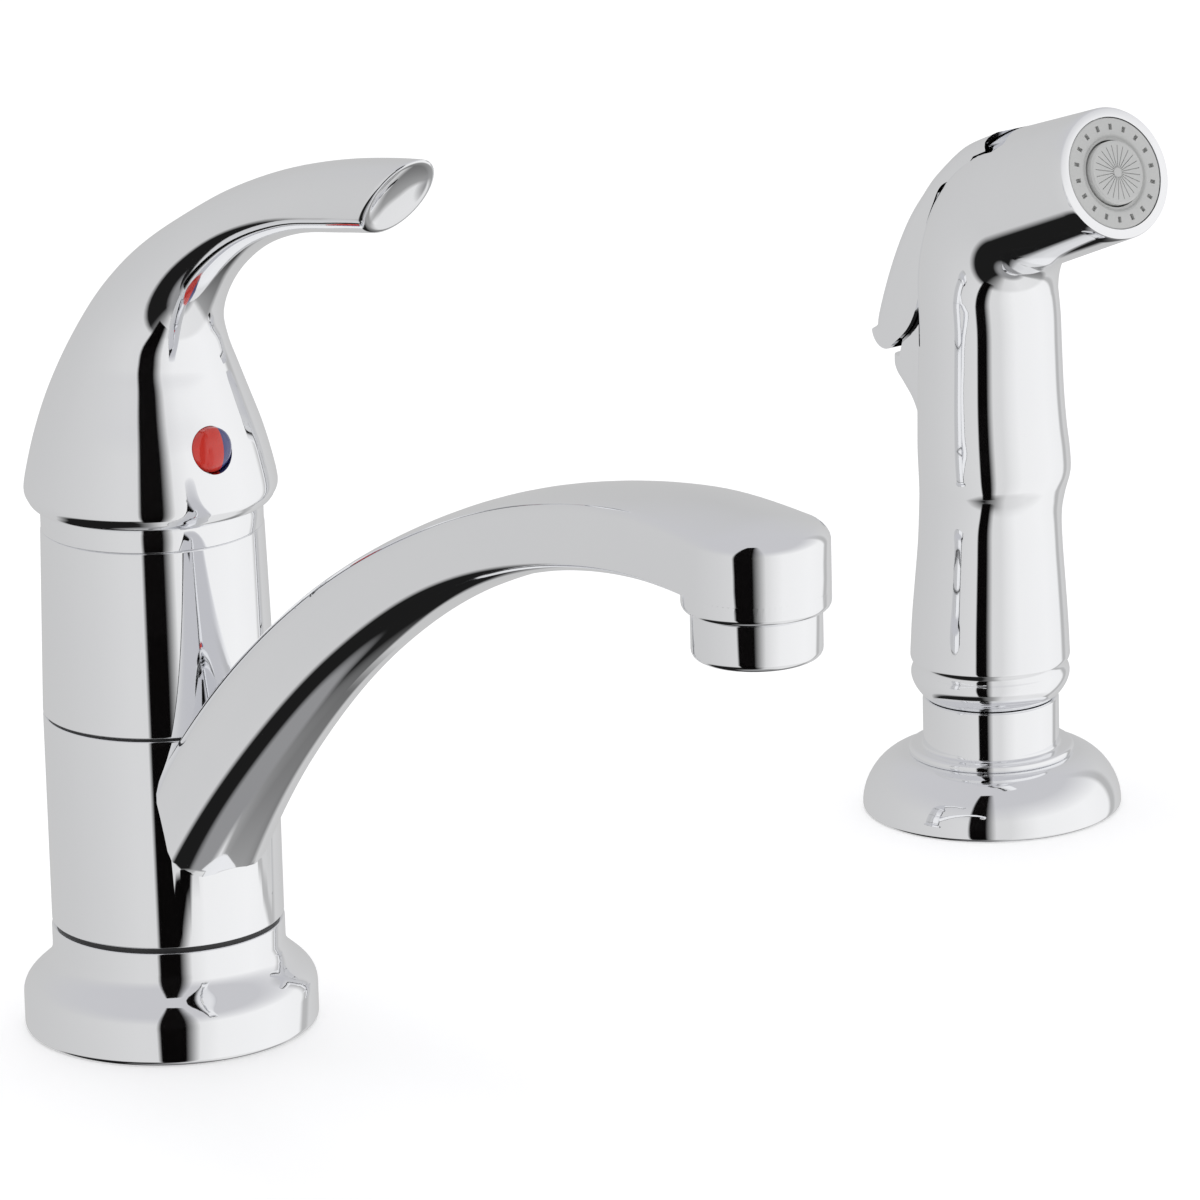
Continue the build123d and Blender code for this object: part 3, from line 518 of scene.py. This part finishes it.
def cutTip(rows, rings):
    # draws the last rings back along the lever so that the end lies in the oblique plane
    s = handleSize
    lean = radians(s["tipLean"])
    end, outward = Vector((0, -s["tipForward"], s["tipHeight"])), Vector((0, -cos(lean), -sin(lean)))
    first = len(rings) - s["tipLoops"] - 1
    start = first / s["loopsPerRow"]
    forward, height, tilt, halfWidth, halfDepth = smoothRow(rows, start)
    for k in range(s["segments"]):
        flat = leanMatrix(forward, height, tilt).inverted() @ rings[first][k].co
        spot = (flat.x / halfWidth, flat.y / halfDepth)
        low, high = start, len(rows) - 1.0
        for halving in range(s["halvings"]):
            middle = (low + high) / 2
            if (leverPoint(rows, middle, spot) - end).dot(outward) > 0:
                high = middle
            else:
                low = middle
        for step in range(1, s["tipLoops"] + 1):
            at = start + (low - start) * step / s["tipLoops"]
            rings[first + step][k].co = leverPoint(rows, at, spot)


def makeHandle():
    s, b = handleSize, buttonSize
    rows = [(k, *row) for k, row in enumerate(handleRim + leverRows)]
    count = (len(rows) - 1) * s["loopsPerRow"]
    bm = bmesh.new()
    outside = [ellipse(bm, *smoothRow(rows, k / s["loopsPerRow"])) for k in range(count + 1)]
    cutTip(rows, outside)
    mouth = asin(sqrt(s["cavity"] ** 2 - (handleRim[0][1] - s["pivot"]) ** 2) / s["cavity"])
    inside = []
    for k in range(s["cavityLoops"]):
        polar = mouth * (1 - k / s["cavityLoops"])
        radius = s["cavity"] * sin(polar)
        inside.append(ellipse(bm, 0, s["pivot"] + s["cavity"] * cos(polar), 0, radius, radius))
    loops = [ringEdges(ring) for ring in inside[::-1] + outside]
    bridge(bm, loops)
    bmesh.ops.edgeloop_fill(bm, edges=loops[0])
    tip = bmesh.ops.edgeloop_fill(bm, edges=loops[-1])["faces"]
    bmesh.ops.recalc_face_normals(bm, faces=bm.faces)
    roundOff(bm, tip[0].edges[:], s["tipRound"], "EDGES")
    tip = max((face for face in bm.faces if len(face.verts) > 4), key=lambda face: face.calc_center_median().z)
    outward = tip.normal.copy()
    space = Matrix.Translation(-tip.calc_center_median())
    rim = tip.edges[:]
    bmesh.ops.delete(bm, geom=[tip], context="FACES_ONLY")
    for k in range(s["dishLoops"]):
        inner = growEdges(bm, rim)
        rim = ringEdges(inner)
        before, after = 1 - k / s["dishLoops"], 1 - (k + 1) / (s["dishLoops"] + 0.2)
        shrink = after / before if k else after
        bmesh.ops.scale(bm, vec=(shrink, shrink, shrink), space=space, verts=inner)
        fall = s["dishDepth"] * (before ** 2 - after ** 2)
        bmesh.ops.translate(bm, vec=outward * -fall, verts=inner)
        space = Matrix.Translation(outward * fall) @ space
    bmesh.ops.edgeloop_fill(bm, edges=rim)
    handle = asObject(bm, "handle")
    socket = bmesh.new()
    tall = s["stemTop"] - handleRim[0][1] + s["stemPast"]
    place = Matrix.Translation((0, 0, s["stemTop"] - tall / 2)) @ Matrix.Diagonal((s["stem"], s["stem"], tall, 1))
    bmesh.ops.create_cube(socket, size=1, matrix=place)
    carve(handle, asObject(socket, "socket"))
    carve(handle, forwardRod(b["grub"], 0, b["floor"] + 1, b["height"], "grubHole"))
    carve(handle, forwardRod(b["radius"] + b["clear"], b["floor"], b["past"], b["height"], "buttonHole"))
    settle(handle, "handle", "chrome", ["handle"])


def makeButton():
    s = buttonSize
    face, radius = s["face"], s["radius"]
    steps = [(0, s["floor"]), (radius, s["floor"]), (radius, face - s["edge"]),
             ((radius, face - 0.1), (radius * 0.6, face + s["crown"]), (0, face + s["crown"]))]
    bm = turned(steps, closed=False, count=s["segments"])
    place = Matrix.Translation((0, 0, s["height"])) @ Matrix.Rotation(pi / 2, 4, "X")
    bmesh.ops.transform(bm, matrix=place, verts=bm.verts)
    settle(asObject(bm, "indexButton"), "handle", "index_plastic", ["index_button"], 50)


# Spray holder and guide

holderSize = {"radius": 26.4, "height": 11.6, "bore": 13.05, "seat": 18.1, "gasket": (15.7, 23.4, 2.0),
              "footRound": 0.8, "side": 1.4, "sidePull": (-0.2, 6.0), "seatPull": (4.4, -0.5)}
guideSize = {"bore": 11.3, "shank": 12.7, "bottom": -42.0, "flange": 16.9, "flangeTop": 13.2, "collar": 13.9,
             "collarTop": 23.4, "tailRound": 0.8, "flangeRounds": (0.4, 0.7), "filletOut": 0.6, "filletUp": 0.8,
             "collarRounds": (0.5, 0.4)}


def makeHolder():
    s = holderSize
    inner, outer, deep = s["gasket"]
    steps = [(s["bore"], 0), (inner, 0), (inner, deep), (outer, deep), (outer, 0),
             (s["radius"], 0, s["footRound"]), (s["radius"], s["side"]),
             ((s["radius"] + s["sidePull"][0], s["sidePull"][1]),
              (s["seat"] + s["seatPull"][0], s["height"] + s["seatPull"][1]), (s["seat"], s["height"])),
             (s["bore"], s["height"])]
    settle(asObject(turned(steps, sprayX), "sprayHolder"), "fixed", "chrome", ["spray_holder"])


def makeGuide():
    s = guideSize
    seat, top, collar = holderSize["height"], s["flangeTop"], s["collar"]
    steps = [(s["bore"], s["bottom"]), (s["shank"], s["bottom"], s["tailRound"]), (s["shank"], seat),
             (s["flange"], seat, s["flangeRounds"][0]), (s["flange"], top, s["flangeRounds"][1]),
             (collar + s["filletOut"], top),
             ((collar + 0.1, top), (collar, top + 0.2), (collar, top + s["filletUp"])),
             (collar, s["collarTop"], s["collarRounds"][0]), (s["bore"], s["collarTop"], s["collarRounds"][1])]
    settle(asObject(turned(steps, sprayX), "sprayGuide"), "fixed", "chrome", ["spray_guide"])


# Spray wand

wandSize = {"bore": 5.5, "tail": 10.9, "tailBottom": 8.0, "seat": 23.5, "neck": 13.2, "groove": 15.7,
            "grooveBottom": 30.2, "grip": 16.3, "gripBottom": 32.0, "gripStart": 34.0, "gripLoops": 60,
            "bendStart": 109.0, "bendRadius": 23.2, "bendForward": 0.8, "tube": 14.2, "rise": 21.0, "reach": 41.0,
            "face": 13.3, "recess": 11.3, "recessDepth": 6.0, "tailRound": 0.6, "seatRound": 0.3, "gripRound": 0.5,
            "grooveHeight": 1.1, "lowPull": (1.6, 1.2), "highPull": (0.9, 4.6), "bendLoops": 40, "headLoops": 8,
            "faceRim": [(0.15, 0.35), (0.5, 0.15)]}  # the rim's steps inwards and forwards
# height, radius and forward shift
gripRows = [(32.0, 16.3, 0.0), (40.0, 15.9, 0.1), (48.0, 15.3, 0.3), (56.0, 14.7, 0.5), (62.5, 14.5, 0.7),
            (67.0, 14.8, 1.4), (71.5, 15.4, 2.2), (76.0, 15.4, 2.0), (81.0, 15.1, 1.6), (88.0, 14.8, 1.3),
            (97.0, 14.5, 1.3), (104.0, 14.3, 1.3), (109.0, 14.2, 0.8)]
triggerSize = {"width": 18.7, "fairing": 16.0, "round": 3.0, "press": 2.6, "clear": 0.35, "noseClear": 0.35 / 3,
               "slotClear": 0.2, "pivotAngle": 50.2, "pivotDepth": 6.2, "pin": 1.5, "pinClear": 0.05, "tongue": 6.0,
               "eye": 3.2, "eyeSteps": 16, "lip": (-16.4, 12.7), "lipSteps": 12, "roomLip": (-17.4, 13.6),
               "fairingRound": 3.0, "lineSteps": 48}
# bend angle and height above the bend's back, along the trigger's crest and under it
triggerCrest = [(72, 0.05), (56, 0.1), (40, 0.7), (30, 1.6), (20, 3.3), (10, 5.4), (0, 8.3), (-9, 11.8),
                (-12.9, 13.2)]
triggerHollow = [(-18.7, 9.5), (-13.5, 6.4), (-3, 4.2), (11, 2.1), (22, 0.8), (32, -0.5), (41, -2.4), (52, -5.2)]
triggerSkirt = [0.4, 5.4, 7.6, 5.6, 4.3, 2.8, 0.6, 0.0]  # how far the sides hang below each of those rows
fairingRail = [(-8, 7.3), (4, 4.3), (16, 2.7), (28, 1.6), (40, -0.8)]
fairingFoot = [(-10.0, 76.0), (-13.4, 80.0), (-15.7, 83.7), (-18.3, 86.3), (-20.9, 88.9), (-21.6, 92.5)]


def bendPoint(angle, radius):
    turn, s = radians(angle), wandSize
    return s["bendForward"] + s["bendRadius"] - radius * cos(turn), s["bendStart"] + radius * sin(turn)


def backPoint(angle, lift):
    return bendPoint(angle, wandSize["bendRadius"] + wandSize["tube"] + lift)


def facePlace():
    s = wandSize
    forward, height = bendPoint(90 - s["rise"], s["bendRadius"])
    height += (s["reach"] - forward) * tan(radians(s["rise"]))
    return Matrix.Translation((sprayX, -s["reach"], height)) @ Matrix.Rotation(radians(90 - s["rise"]), 4, "X")


def sidePlate(points, width, name, rounding=0.0, rounded=None):
    # a plate about the plane of symmetry, from forward distances and heights; its first edges can be rounded
    bm = bmesh.new()
    verts = [bm.verts.new((sprayX - width / 2, -forward, height)) for forward, height in points]
    soft = {(round(v.co.y, 3), round(v.co.z, 3)) for v in verts[:rounded]}
    made = bmesh.ops.extrude_face_region(bm, geom=[bm.faces.new(verts)])
    bmesh.ops.translate(bm, vec=(width, 0, 0), verts=onlyVerts(made["geom"]))
    if rounding:
        along = [e for e in bm.edges if abs(e.verts[0].co.x - e.verts[1].co.x) < tiny]
        rims = [e for e in along if all((round(v.co.y, 3), round(v.co.z, 3)) in soft for v in e.verts)]
        roundOff(bm, rims, rounding, "EDGES")
    return asObject(bm, name)


def smoothLine(points, count):
    rows = [(k, *point) for k, point in enumerate(points)]
    last = len(points) - 1
    return [tuple(smoothRow(rows, last * k / count)) for k in range(count + 1)]


def triggerLine(rows):
    return smoothLine([backPoint(*row) for row in rows], triggerSize["lineSteps"])


def arcThrough(first, middle, last, count):
    # points on the circle through three points
    a, b, c = (Vector(point) for point in (first, middle, last))
    u, v = b - a, c - a
    cross = 2 * (u.x * v.y - u.y * v.x)
    centre = a + Vector((v.y * u.dot(u) - u.y * v.dot(v), u.x * v.dot(v) - v.x * u.dot(u))) / cross
    sweep = (a - centre).angle_signed(c - centre)
    if (a - centre).angle_signed(b - centre) * sweep < 0:
        sweep -= 2 * pi if sweep > 0 else -2 * pi
    points = []
    for k in range(1, count):
        turn = -sweep * k / count
        arm = a - centre
        points.append((centre.x + arm.x * cos(turn) - arm.y * sin(turn),
                       centre.y + arm.x * sin(turn) + arm.y * cos(turn)))
    return points


def pivotPoint():
    return Vector(backPoint(triggerSize["pivotAngle"], -triggerSize["pivotDepth"]))


def roomOutline(angle, skirt):
    # the room for the trigger when pressed by this angle, open to the outside; for its sides where skirt is 1
    s = triggerSize
    spread = s["clear"] / (wandSize["bendRadius"] + wandSize["tube"]) * 180 / pi
    rows = []
    for (at, lift), drop in zip(triggerHollow, triggerSkirt):
        rows.append((at, lift - s["clear"] - skirt * (drop + s["slotClear"])))
    rows[0] = (rows[0][0] - spread, rows[0][1])
    rows[-1] = (rows[-1][0] + spread, rows[-1][1])
    nose = Vector(backPoint(*triggerCrest[0])) + Vector((s["noseClear"], 0))
    lip = Vector(backPoint(*s["roomLip"]))
    wide = 2 * wandSize["tube"]
    points = triggerLine(rows) + [nose, nose + Vector((-wide / 8, wide)), lip + Vector((-wide, wide)), lip]
    turn = Matrix.Rotation(radians(angle), 2)
    return [tuple(pivotPoint() + turn @ (Vector(point) - pivotPoint())) for point in points]


def tongueOutline(grow):
    # an eye about the pivot, and a neck from it out to the trigger's back
    s = triggerSize
    turn = radians(s["pivotAngle"])
    outward, across = Vector((-cos(turn), sin(turn))), Vector((sin(turn), cos(turn)))
    radius = s["eye"] + grow
    points = []
    for k in range(s["eyeSteps"] + 1):
        swing = pi * (k / s["eyeSteps"] - 0.5)
        points.append(tuple(pivotPoint() - outward * radius * cos(swing) + across * radius * sin(swing)))
    neck = pivotPoint() + outward * (s["pivotDepth"] - s["eye"])
    return points + [tuple(neck + across * radius), tuple(neck - across * radius)]


def crossRod(radius, length, place, name):
    bm = bmesh.new()
    stand = Matrix.Translation((sprayX, -place[0], place[1])) @ Matrix.Rotation(pi / 2, 4, "Y")
    bmesh.ops.create_cone(bm, cap_ends=True, radius1=radius, radius2=radius, depth=length, segments=48, matrix=stand)
    return asObject(bm, name)


def makeWand():
    s, t = wandSize, triggerSize
    bm = bmesh.new()
    radius, shift = smoothRow(gripRows, s["gripStart"])
    steps = [(s["bore"], s["tailBottom"]), (s["tail"], s["tailBottom"], s["tailRound"]), (s["tail"], s["seat"]),
             (s["neck"], s["seat"], s["seatRound"]),
             ((s["neck"] + s["lowPull"][0], s["seat"] + s["lowPull"][1]),
              (s["grip"] + s["highPull"][0], s["seat"] + s["highPull"][1]), (s["groove"], s["grooveBottom"])),
             (s["groove"], s["gripBottom"] - s["grooveHeight"]), (s["grip"], s["gripBottom"], s["gripRound"]),
             (radius, s["gripStart"])]
    drawOutline(bm, steps, lambda r, z: (r, 0, z), closed=False)
    bmesh.ops.spin(bm, geom=bm.verts[:] + bm.edges[:], cent=(0, 0, 0), axis=(0, 0, 1), angle=2 * pi, steps=turnSteps,
                   use_merge=True)
    bmesh.ops.remove_doubles(bm, verts=bm.verts, dist=mergeGap)
    end = [v for v in bm.verts if v.co.z > s["gripStart"] - tiny]
    shift = 0.0

    def pushOut(space, newRadius, travel):
        nonlocal end, radius
        end = growEdges(bm, ringEdges(end))
        scale = newRadius / radius
        bmesh.ops.scale(bm, vec=(scale, scale, 1), space=space, verts=end)
        bmesh.ops.translate(bm, vec=travel, verts=end)
        radius = newRadius

    rise = (s["bendStart"] - s["gripStart"]) / s["gripLoops"]
    for k in range(1, s["gripLoops"] + 1):
        newRadius, newShift = smoothRow(gripRows, s["gripStart"] + k * rise)
        pushOut(Matrix.Translation((0, shift, 0)), newRadius, (0, shift - newShift, rise))
        shift = newShift
    bend = (0, -s["bendForward"] - s["bendRadius"], s["bendStart"])
    made = bmesh.ops.spin(bm, geom=end + ringEdges(end), cent=bend, axis=(1, 0, 0), angle=radians(90 - s["rise"]),
                          steps=s["bendLoops"], use_merge=False)
    end = onlyVerts(made["geom_last"])
    place = Matrix.Translation((-sprayX, 0, 0)) @ facePlace()
    inverse = place.inverted()
    outward = place.to_3x3() @ Vector((0, 0, 1))
    length = -(inverse @ (sum((v.co for v in end), Vector()) / len(end))).z
    rimDepth = sum(step for inwards, step in s["faceRim"])
    count = s["headLoops"]
    for k in range(1, count + 1):
        pushOut(inverse, s["tube"] + (s["face"] - s["tube"]) * k / count, outward * (length - rimDepth) / count)
    for inwards, step in s["faceRim"]:
        pushOut(inverse, s["face"] - inwards, outward * step)
    pushOut(inverse, s["recess"], (0, 0, 0))
    pushOut(inverse, s["recess"], outward * -s["recessDepth"])
    bmesh.ops.edgeloop_fill(bm, edges=ringEdges(end))
    low = [v for v in bm.verts if v.co.z < s["tailBottom"] + tiny and abs(v.co.xy.length - s["bore"]) < 0.01]
    bmesh.ops.edgeloop_fill(bm, edges=ringEdges(low))
    bmesh.ops.translate(bm, vec=(sprayX, 0, 0), verts=bm.verts)
    wand = asObject(bm, "wandBody")
    fairing = smoothLine(fairingFoot + [backPoint(*row) for row in fairingRail], t["lineSteps"])
    plate = sidePlate(fairing + [(0, s["bendStart"])], t["fairing"], "fairing", t["fairingRound"], len(fairing))
    presses = [share * t["press"] for share in (0, 0.5, 1)]
    for press in presses:
        carve(wand, sidePlate(roomOutline(press, 1), t["width"] + 2 * t["clear"], "sideSlots"))
    carve(wand, plate, "UNION")
    for press in presses:
        carve(wand, sidePlate(roomOutline(press, 0), t["width"] + 2 * t["clear"], "recess"))
    swing = t["clear"] + 2 * t["eye"] * tan(radians(t["press"]))
    carve(wand, sidePlate(tongueOutline(swing), t["tongue"] + 2 * t["clear"], "slot"))
    settle(wand, "wand", "chrome", ["wand_body"])


def makeTrigger():
    s = triggerSize
    crest, hollow = triggerLine(triggerCrest), triggerLine(triggerHollow)
    skirt = triggerLine([(at, lift - drop) for (at, lift), drop in zip(triggerHollow, triggerSkirt)])
    outline = crest + arcThrough(crest[-1], backPoint(*s["lip"]), skirt[0], s["lipSteps"]) + skirt
    trigger = sidePlate(outline, s["width"], "sprayTrigger", s["round"], len(crest))
    inside = [backPoint(triggerHollow[k][0], -wandSize["tube"]) for k in (-1, 0)]
    carve(trigger, sidePlate(hollow + inside, s["fairing"] + 2 * s["clear"], "channel"))
    carve(trigger, sidePlate(tongueOutline(0), s["tongue"], "tongue"), "UNION")
    carve(trigger, crossRod(s["pin"] + s["pinClear"], s["width"], pivotPoint(), "pinHole"))
    settle(trigger, "trigger", "chrome", ["spray_trigger"])


faceSize = {"radius": 11.2, "depth": 6.0, "floor": 2, "edge": 0.4, "button": 6.4, "buttonEdge": 0.4, "clear": 0.35,
            "step": (0.9, 0.5), "stepRounds": (0.3, 0.2), "segments": 108, "slotCount": 18, "slotCircle": 9.3,
            "slot": (1.2, 0.8, 1.6), "grooves": 24, "lift": 1.0, "groove": (4.5, 0.16, 0.5), "grooveCircle": 3.2}


def ringOfBars(count, circle, height, size, name):
    bm = bmesh.new()
    for k in range(count):
        turn = Matrix.Rotation(2 * pi * k / count, 4, "Z")
        place = turn @ Matrix.Translation((circle, 0, height)) @ Matrix.Diagonal((*size, 1))
        bmesh.ops.create_cube(bm, size=1, matrix=place)
    return asObject(bm, name)


def makeSprayFace():
    s = faceSize
    seat, floor = s["button"] + s["clear"], s["floor"] - s["depth"]
    wide, deep = s["step"]
    steps = [(0, -s["depth"]), (s["radius"], -s["depth"]), (s["radius"], 0, s["edge"]),
             (seat + wide, 0, s["stepRounds"][0]), (seat + deep, -deep, s["stepRounds"][1]), (seat, -deep),
             (seat, floor), (0, floor)]
    face = asObject(turned(steps, closed=False, count=s["segments"]), "sprayFace")
    carve(face, ringOfBars(s["slotCount"], s["slotCircle"], 0, s["slot"], "slots"))
    face.data.transform(facePlace())
    settle(face, "wand", "grey_plastic", ["spray_face"])


def makeSprayButton():
    s = faceSize
    bm = bmesh.new()
    edge = s["buttonEdge"]
    bmesh.ops.create_circle(bm, cap_ends=True, radius=s["button"] - edge, segments=4 * s["grooves"])
    outer = growEdges(bm, [e for e in bm.edges if e.is_boundary])
    scale = s["button"] / (s["button"] - edge)
    bmesh.ops.scale(bm, vec=(scale, scale, 1), verts=outer)
    bmesh.ops.translate(bm, vec=(0, 0, -edge), verts=outer)
    outer = growEdges(bm, [e for e in bm.edges if e.is_boundary])
    bmesh.ops.translate(bm, vec=(0, 0, edge - s["lift"] - s["depth"] + s["floor"]), verts=outer)
    bmesh.ops.edgeloop_fill(bm, edges=[e for e in bm.edges if e.is_boundary])
    bmesh.ops.translate(bm, vec=(0, 0, s["lift"]), verts=bm.verts)
    button = asObject(bm, "sprayButton")
    carve(button, ringOfBars(s["grooves"], s["grooveCircle"], s["lift"], s["groove"], "grooves"))
    button.data.transform(facePlace())
    settle(button, "wand", "grey_plastic", ["spray_button"])


# Camera, floor and light

cameraSize = {"azimuth": -36.44, "elevation": 16.6, "roll": -1.5, "lens": 270.0, "right": 84.2, "height": 81.55,
              "distance": 1706.0, "sensor": 36, "clip": (0.05, 50)}


def cameraAxes():
    turn, tilt = radians(cameraSize["azimuth"]), radians(cameraSize["elevation"])
    back = Vector((sin(turn) * cos(tilt), -cos(turn) * cos(tilt), sin(tilt)))
    right = Vector((cos(turn), sin(turn), 0))
    return back, right, back.cross(right)


def makeCamera():
    s = cameraSize
    back, right, up = cameraAxes()
    roll = radians(s["roll"])
    across = cos(roll) * right + sin(roll) * up
    upright = cos(roll) * up - sin(roll) * right
    spot = (right * s["right"] + Vector((0, 0, s["height"])) + back * s["distance"]) * mm
    data = bpy.data.cameras.new("photoCamera")
    data.lens = s["lens"]
    data.sensor_width = s["sensor"]
    data.clip_start, data.clip_end = s["clip"]
    camera = bpy.data.objects.new("photoCamera", data)
    turn = Matrix((across, upright, back)).transposed().to_4x4()
    camera.matrix_world = Matrix.Translation(spot) @ turn
    bpy.context.scene.collection.objects.link(camera)
    bpy.context.scene.camera = camera


def flatCard(name, corners, material):
    bm = bmesh.new()
    bm.faces.new([bm.verts.new(corner) for corner in corners])
    mesh = bpy.data.meshes.new(name)
    bm.to_mesh(mesh)
    bm.free()
    mesh.materials.append(material)
    card = bpy.data.objects.new(name, mesh)
    bpy.context.scene.collection.objects.link(card)
    return card


def stageFinish(name, shade, light, glow):
    material, sheet, inputs = newFinish(name, {"Roughness": 0.8, "Emission Strength": glow})
    colour = sheet.mix(sheet.noise(sheet.objectPoint(), studio["cloud"]), shade, light)
    feed(sheet, colour, inputs["Base Color"])
    feed(sheet, colour, inputs["Emission Color"])
    return material


studio = {"floorHalf": 6.0, "flagDistance": 0.393, "flagLeft": -0.065, "flagRight": 0.17, "flagTop": 1.4,
          "flagBottom": -0.5, "flagFade": [(0.0, 0.0), (0.1, 1.0), (0.64, 1.0), (1.0, 0.0)],
          "flagShade": (0.003, 0.003, 0.003, 1), "flagLight": (0.006, 0.005, 0.005, 1),
          "floorShade": (0.9, 0.9, 0.9, 1), "floorLight": (0.92, 0.92, 0.92, 1), "floorGlow": 0.35, "cloud": 3.0}
# pieces below the deck, kept out of the reflections
underDeck = ["mounting_shank", "mounting_nut", "mounting_washer", "holder_nut", "holder_washer", "hose_coupling"]


def makeStage():
    s = studio
    half = s["floorHalf"]
    square = [(-1, -1), (1, -1), (1, 1), (-1, 1)]
    floorPaint = stageFinish("paleFloor", s["floorShade"], s["floorLight"], s["floorGlow"])
    floor = flatCard("floor", [(x * half, y * half, 0) for x, y in square], floorPaint)
    floor.visible_glossy = False
    # a dark gap towards the camera, seen only in the reflections, with soft sides
    back, right, up = cameraAxes()
    middle = Vector((back.x, back.y, 0)).normalized() * s["flagDistance"]
    low, high = Vector((0, 0, s["flagBottom"])), Vector((0, 0, s["flagTop"]))
    left, far = middle + right * s["flagLeft"], middle + right * s["flagRight"]
    material, sheet, inputs = newFinish("blackFlag", {"Roughness": 0.9, "Specular IOR Level": 0.0})
    point = sheet.objectPoint()
    feed(sheet, sheet.mix(sheet.noise(point, s["cloud"]), s["flagShade"], s["flagLight"]), inputs["Base Color"])
    turn = (0, 0, radians(-cameraSize["azimuth"]))
    level = sheet.node("ShaderNodeMapping", None, {"Vector": point, "Rotation": turn})
    across = sheet.node("ShaderNodeSeparateXYZ", None, {"Vector": level}, output="X")
    share = (across - s["flagLeft"]) * (1 / (s["flagRight"] - s["flagLeft"]))
    stops = [(place, (dark, dark, dark, 1)) for place, dark in s["flagFade"]]
    feed(sheet, sheet.node("ShaderNodeValToRGB", {"stops": stops}, {0: share}), inputs["Alpha"])
    flag = flatCard("darkGap", [left + low, far + low, far + high, left + high], material)
    flag.visible_camera = False
    flag.visible_diffuse = False
    flag.visible_shadow = False
    for name in underDeck:
        nodes[name].visible_glossy = False


# light by direction, as azimuth from the camera (positive to its right) and level, for walls and floor;
# the fades are the heights at which walls turn to ceiling, walls to floor, and floor to the spot below
skyLook = {"around": [(-180, 0.56), (-150, 0.6), (-100, 0.63), (-60, 0.67), (-25, 0.72), (14, 0.73), (24, 0.82),
                      (40, 0.92), (90, 0.96), (122, 0.93), (128, 0.5), (134, 0.5), (140, 0.66), (180, 0.56)],
           "under": [(-180, 0.012), (-20, 0.012), (0, 0.3), (20, 0.7), (60, 0.82), (118, 0.8), (128, 0.35),
                     (150, 0.22), (165, 0.14), (178, 0.012)],
           "highFade": (0.3, 0.75), "lowFade": (0.66, 0.74), "deepFade": (0.94, 0.975),
           "ceiling": (0.6, 0.6, 0.62, 1), "below": (0.3, 0.3, 0.305, 1)}
lampLook = {"size": (1.6, 1.2), "energy": 9.0, "spot": (0.1, 0.3, 1.8)}


def makeWorld():
    s = skyLook
    world = bpy.data.worlds.new("studioLight")
    world.use_nodes = True
    bpy.context.scene.world = world
    sheet = Signal(world.node_tree)
    backdrop = world.node_tree.nodes["Background"]
    point = sheet.node("ShaderNodeTexCoord", output="Generated")
    turn = (0, 0, radians(-cameraSize["azimuth"]))
    facing = sheet.node("ShaderNodeMapping", None, {"Vector": point, "Rotation": turn})
    axes = sheet.node("ShaderNodeSeparateXYZ", None, {"Vector": facing}).socket.node.outputs
    x, y, z = (Signal(world.node_tree, axes[k]) for k in range(3))
    angle = sheet.maths("ARCTAN2", x, 0.0 - y) * (0.5 / pi) + 0.5

    def levels(rows):
        stops = [(place / 360 + 0.5, (level, level, level, 1)) for place, level in rows]
        return sheet.node("ShaderNodeValToRGB", {"stops": stops}, {0: angle})

    def fade(limits, height):
        stops = [(limits[0], (0, 0, 0, 1)), (limits[1], (1, 1, 1, 1))]
        return sheet.node("ShaderNodeValToRGB", {"stops": stops}, {0: height})

    walls = sheet.mix(fade(s["highFade"], z), levels(s["around"]), s["ceiling"])
    floorLight = sheet.mix(fade(s["deepFade"], 0.0 - z), levels(s["under"]), s["below"])
    feed(sheet, sheet.mix(fade(s["lowFade"], 0.0 - z), walls, floorLight), backdrop.inputs["Color"])
    backdrop.inputs["Strength"].default_value = 1.0


def makeLight():
    data = bpy.data.lights.new("overheadSoft", "AREA")
    data.shape = "RECTANGLE"
    data.size, data.size_y = lampLook["size"]
    data.energy = lampLook["energy"]
    lamp = bpy.data.objects.new("overheadSoft", data)
    lamp.location = lampLook["spot"]
    lamp.visible_camera = False
    lamp.visible_glossy = False
    bpy.context.scene.collection.objects.link(lamp)


# Everything in order

for part in frame["record"]["subparts"]:
    mesh = nodes[part["node"]].data
    mesh.materials.clear()
    mesh.materials.append(finishOf[part["material_slot"]])
makeBase()
makeSleeve()
makeBonnet()
makeSpout()
makeAerator()
makeHandle()
makeButton()
makeHolder()
makeGuide()
makeWand()
makeTrigger()
makeSprayFace()
makeSprayButton()
makeCamera()
makeStage()
makeWorld()
makeLight()
bpy.context.scene.view_settings.view_transform = "Standard"
print("stage and light made")
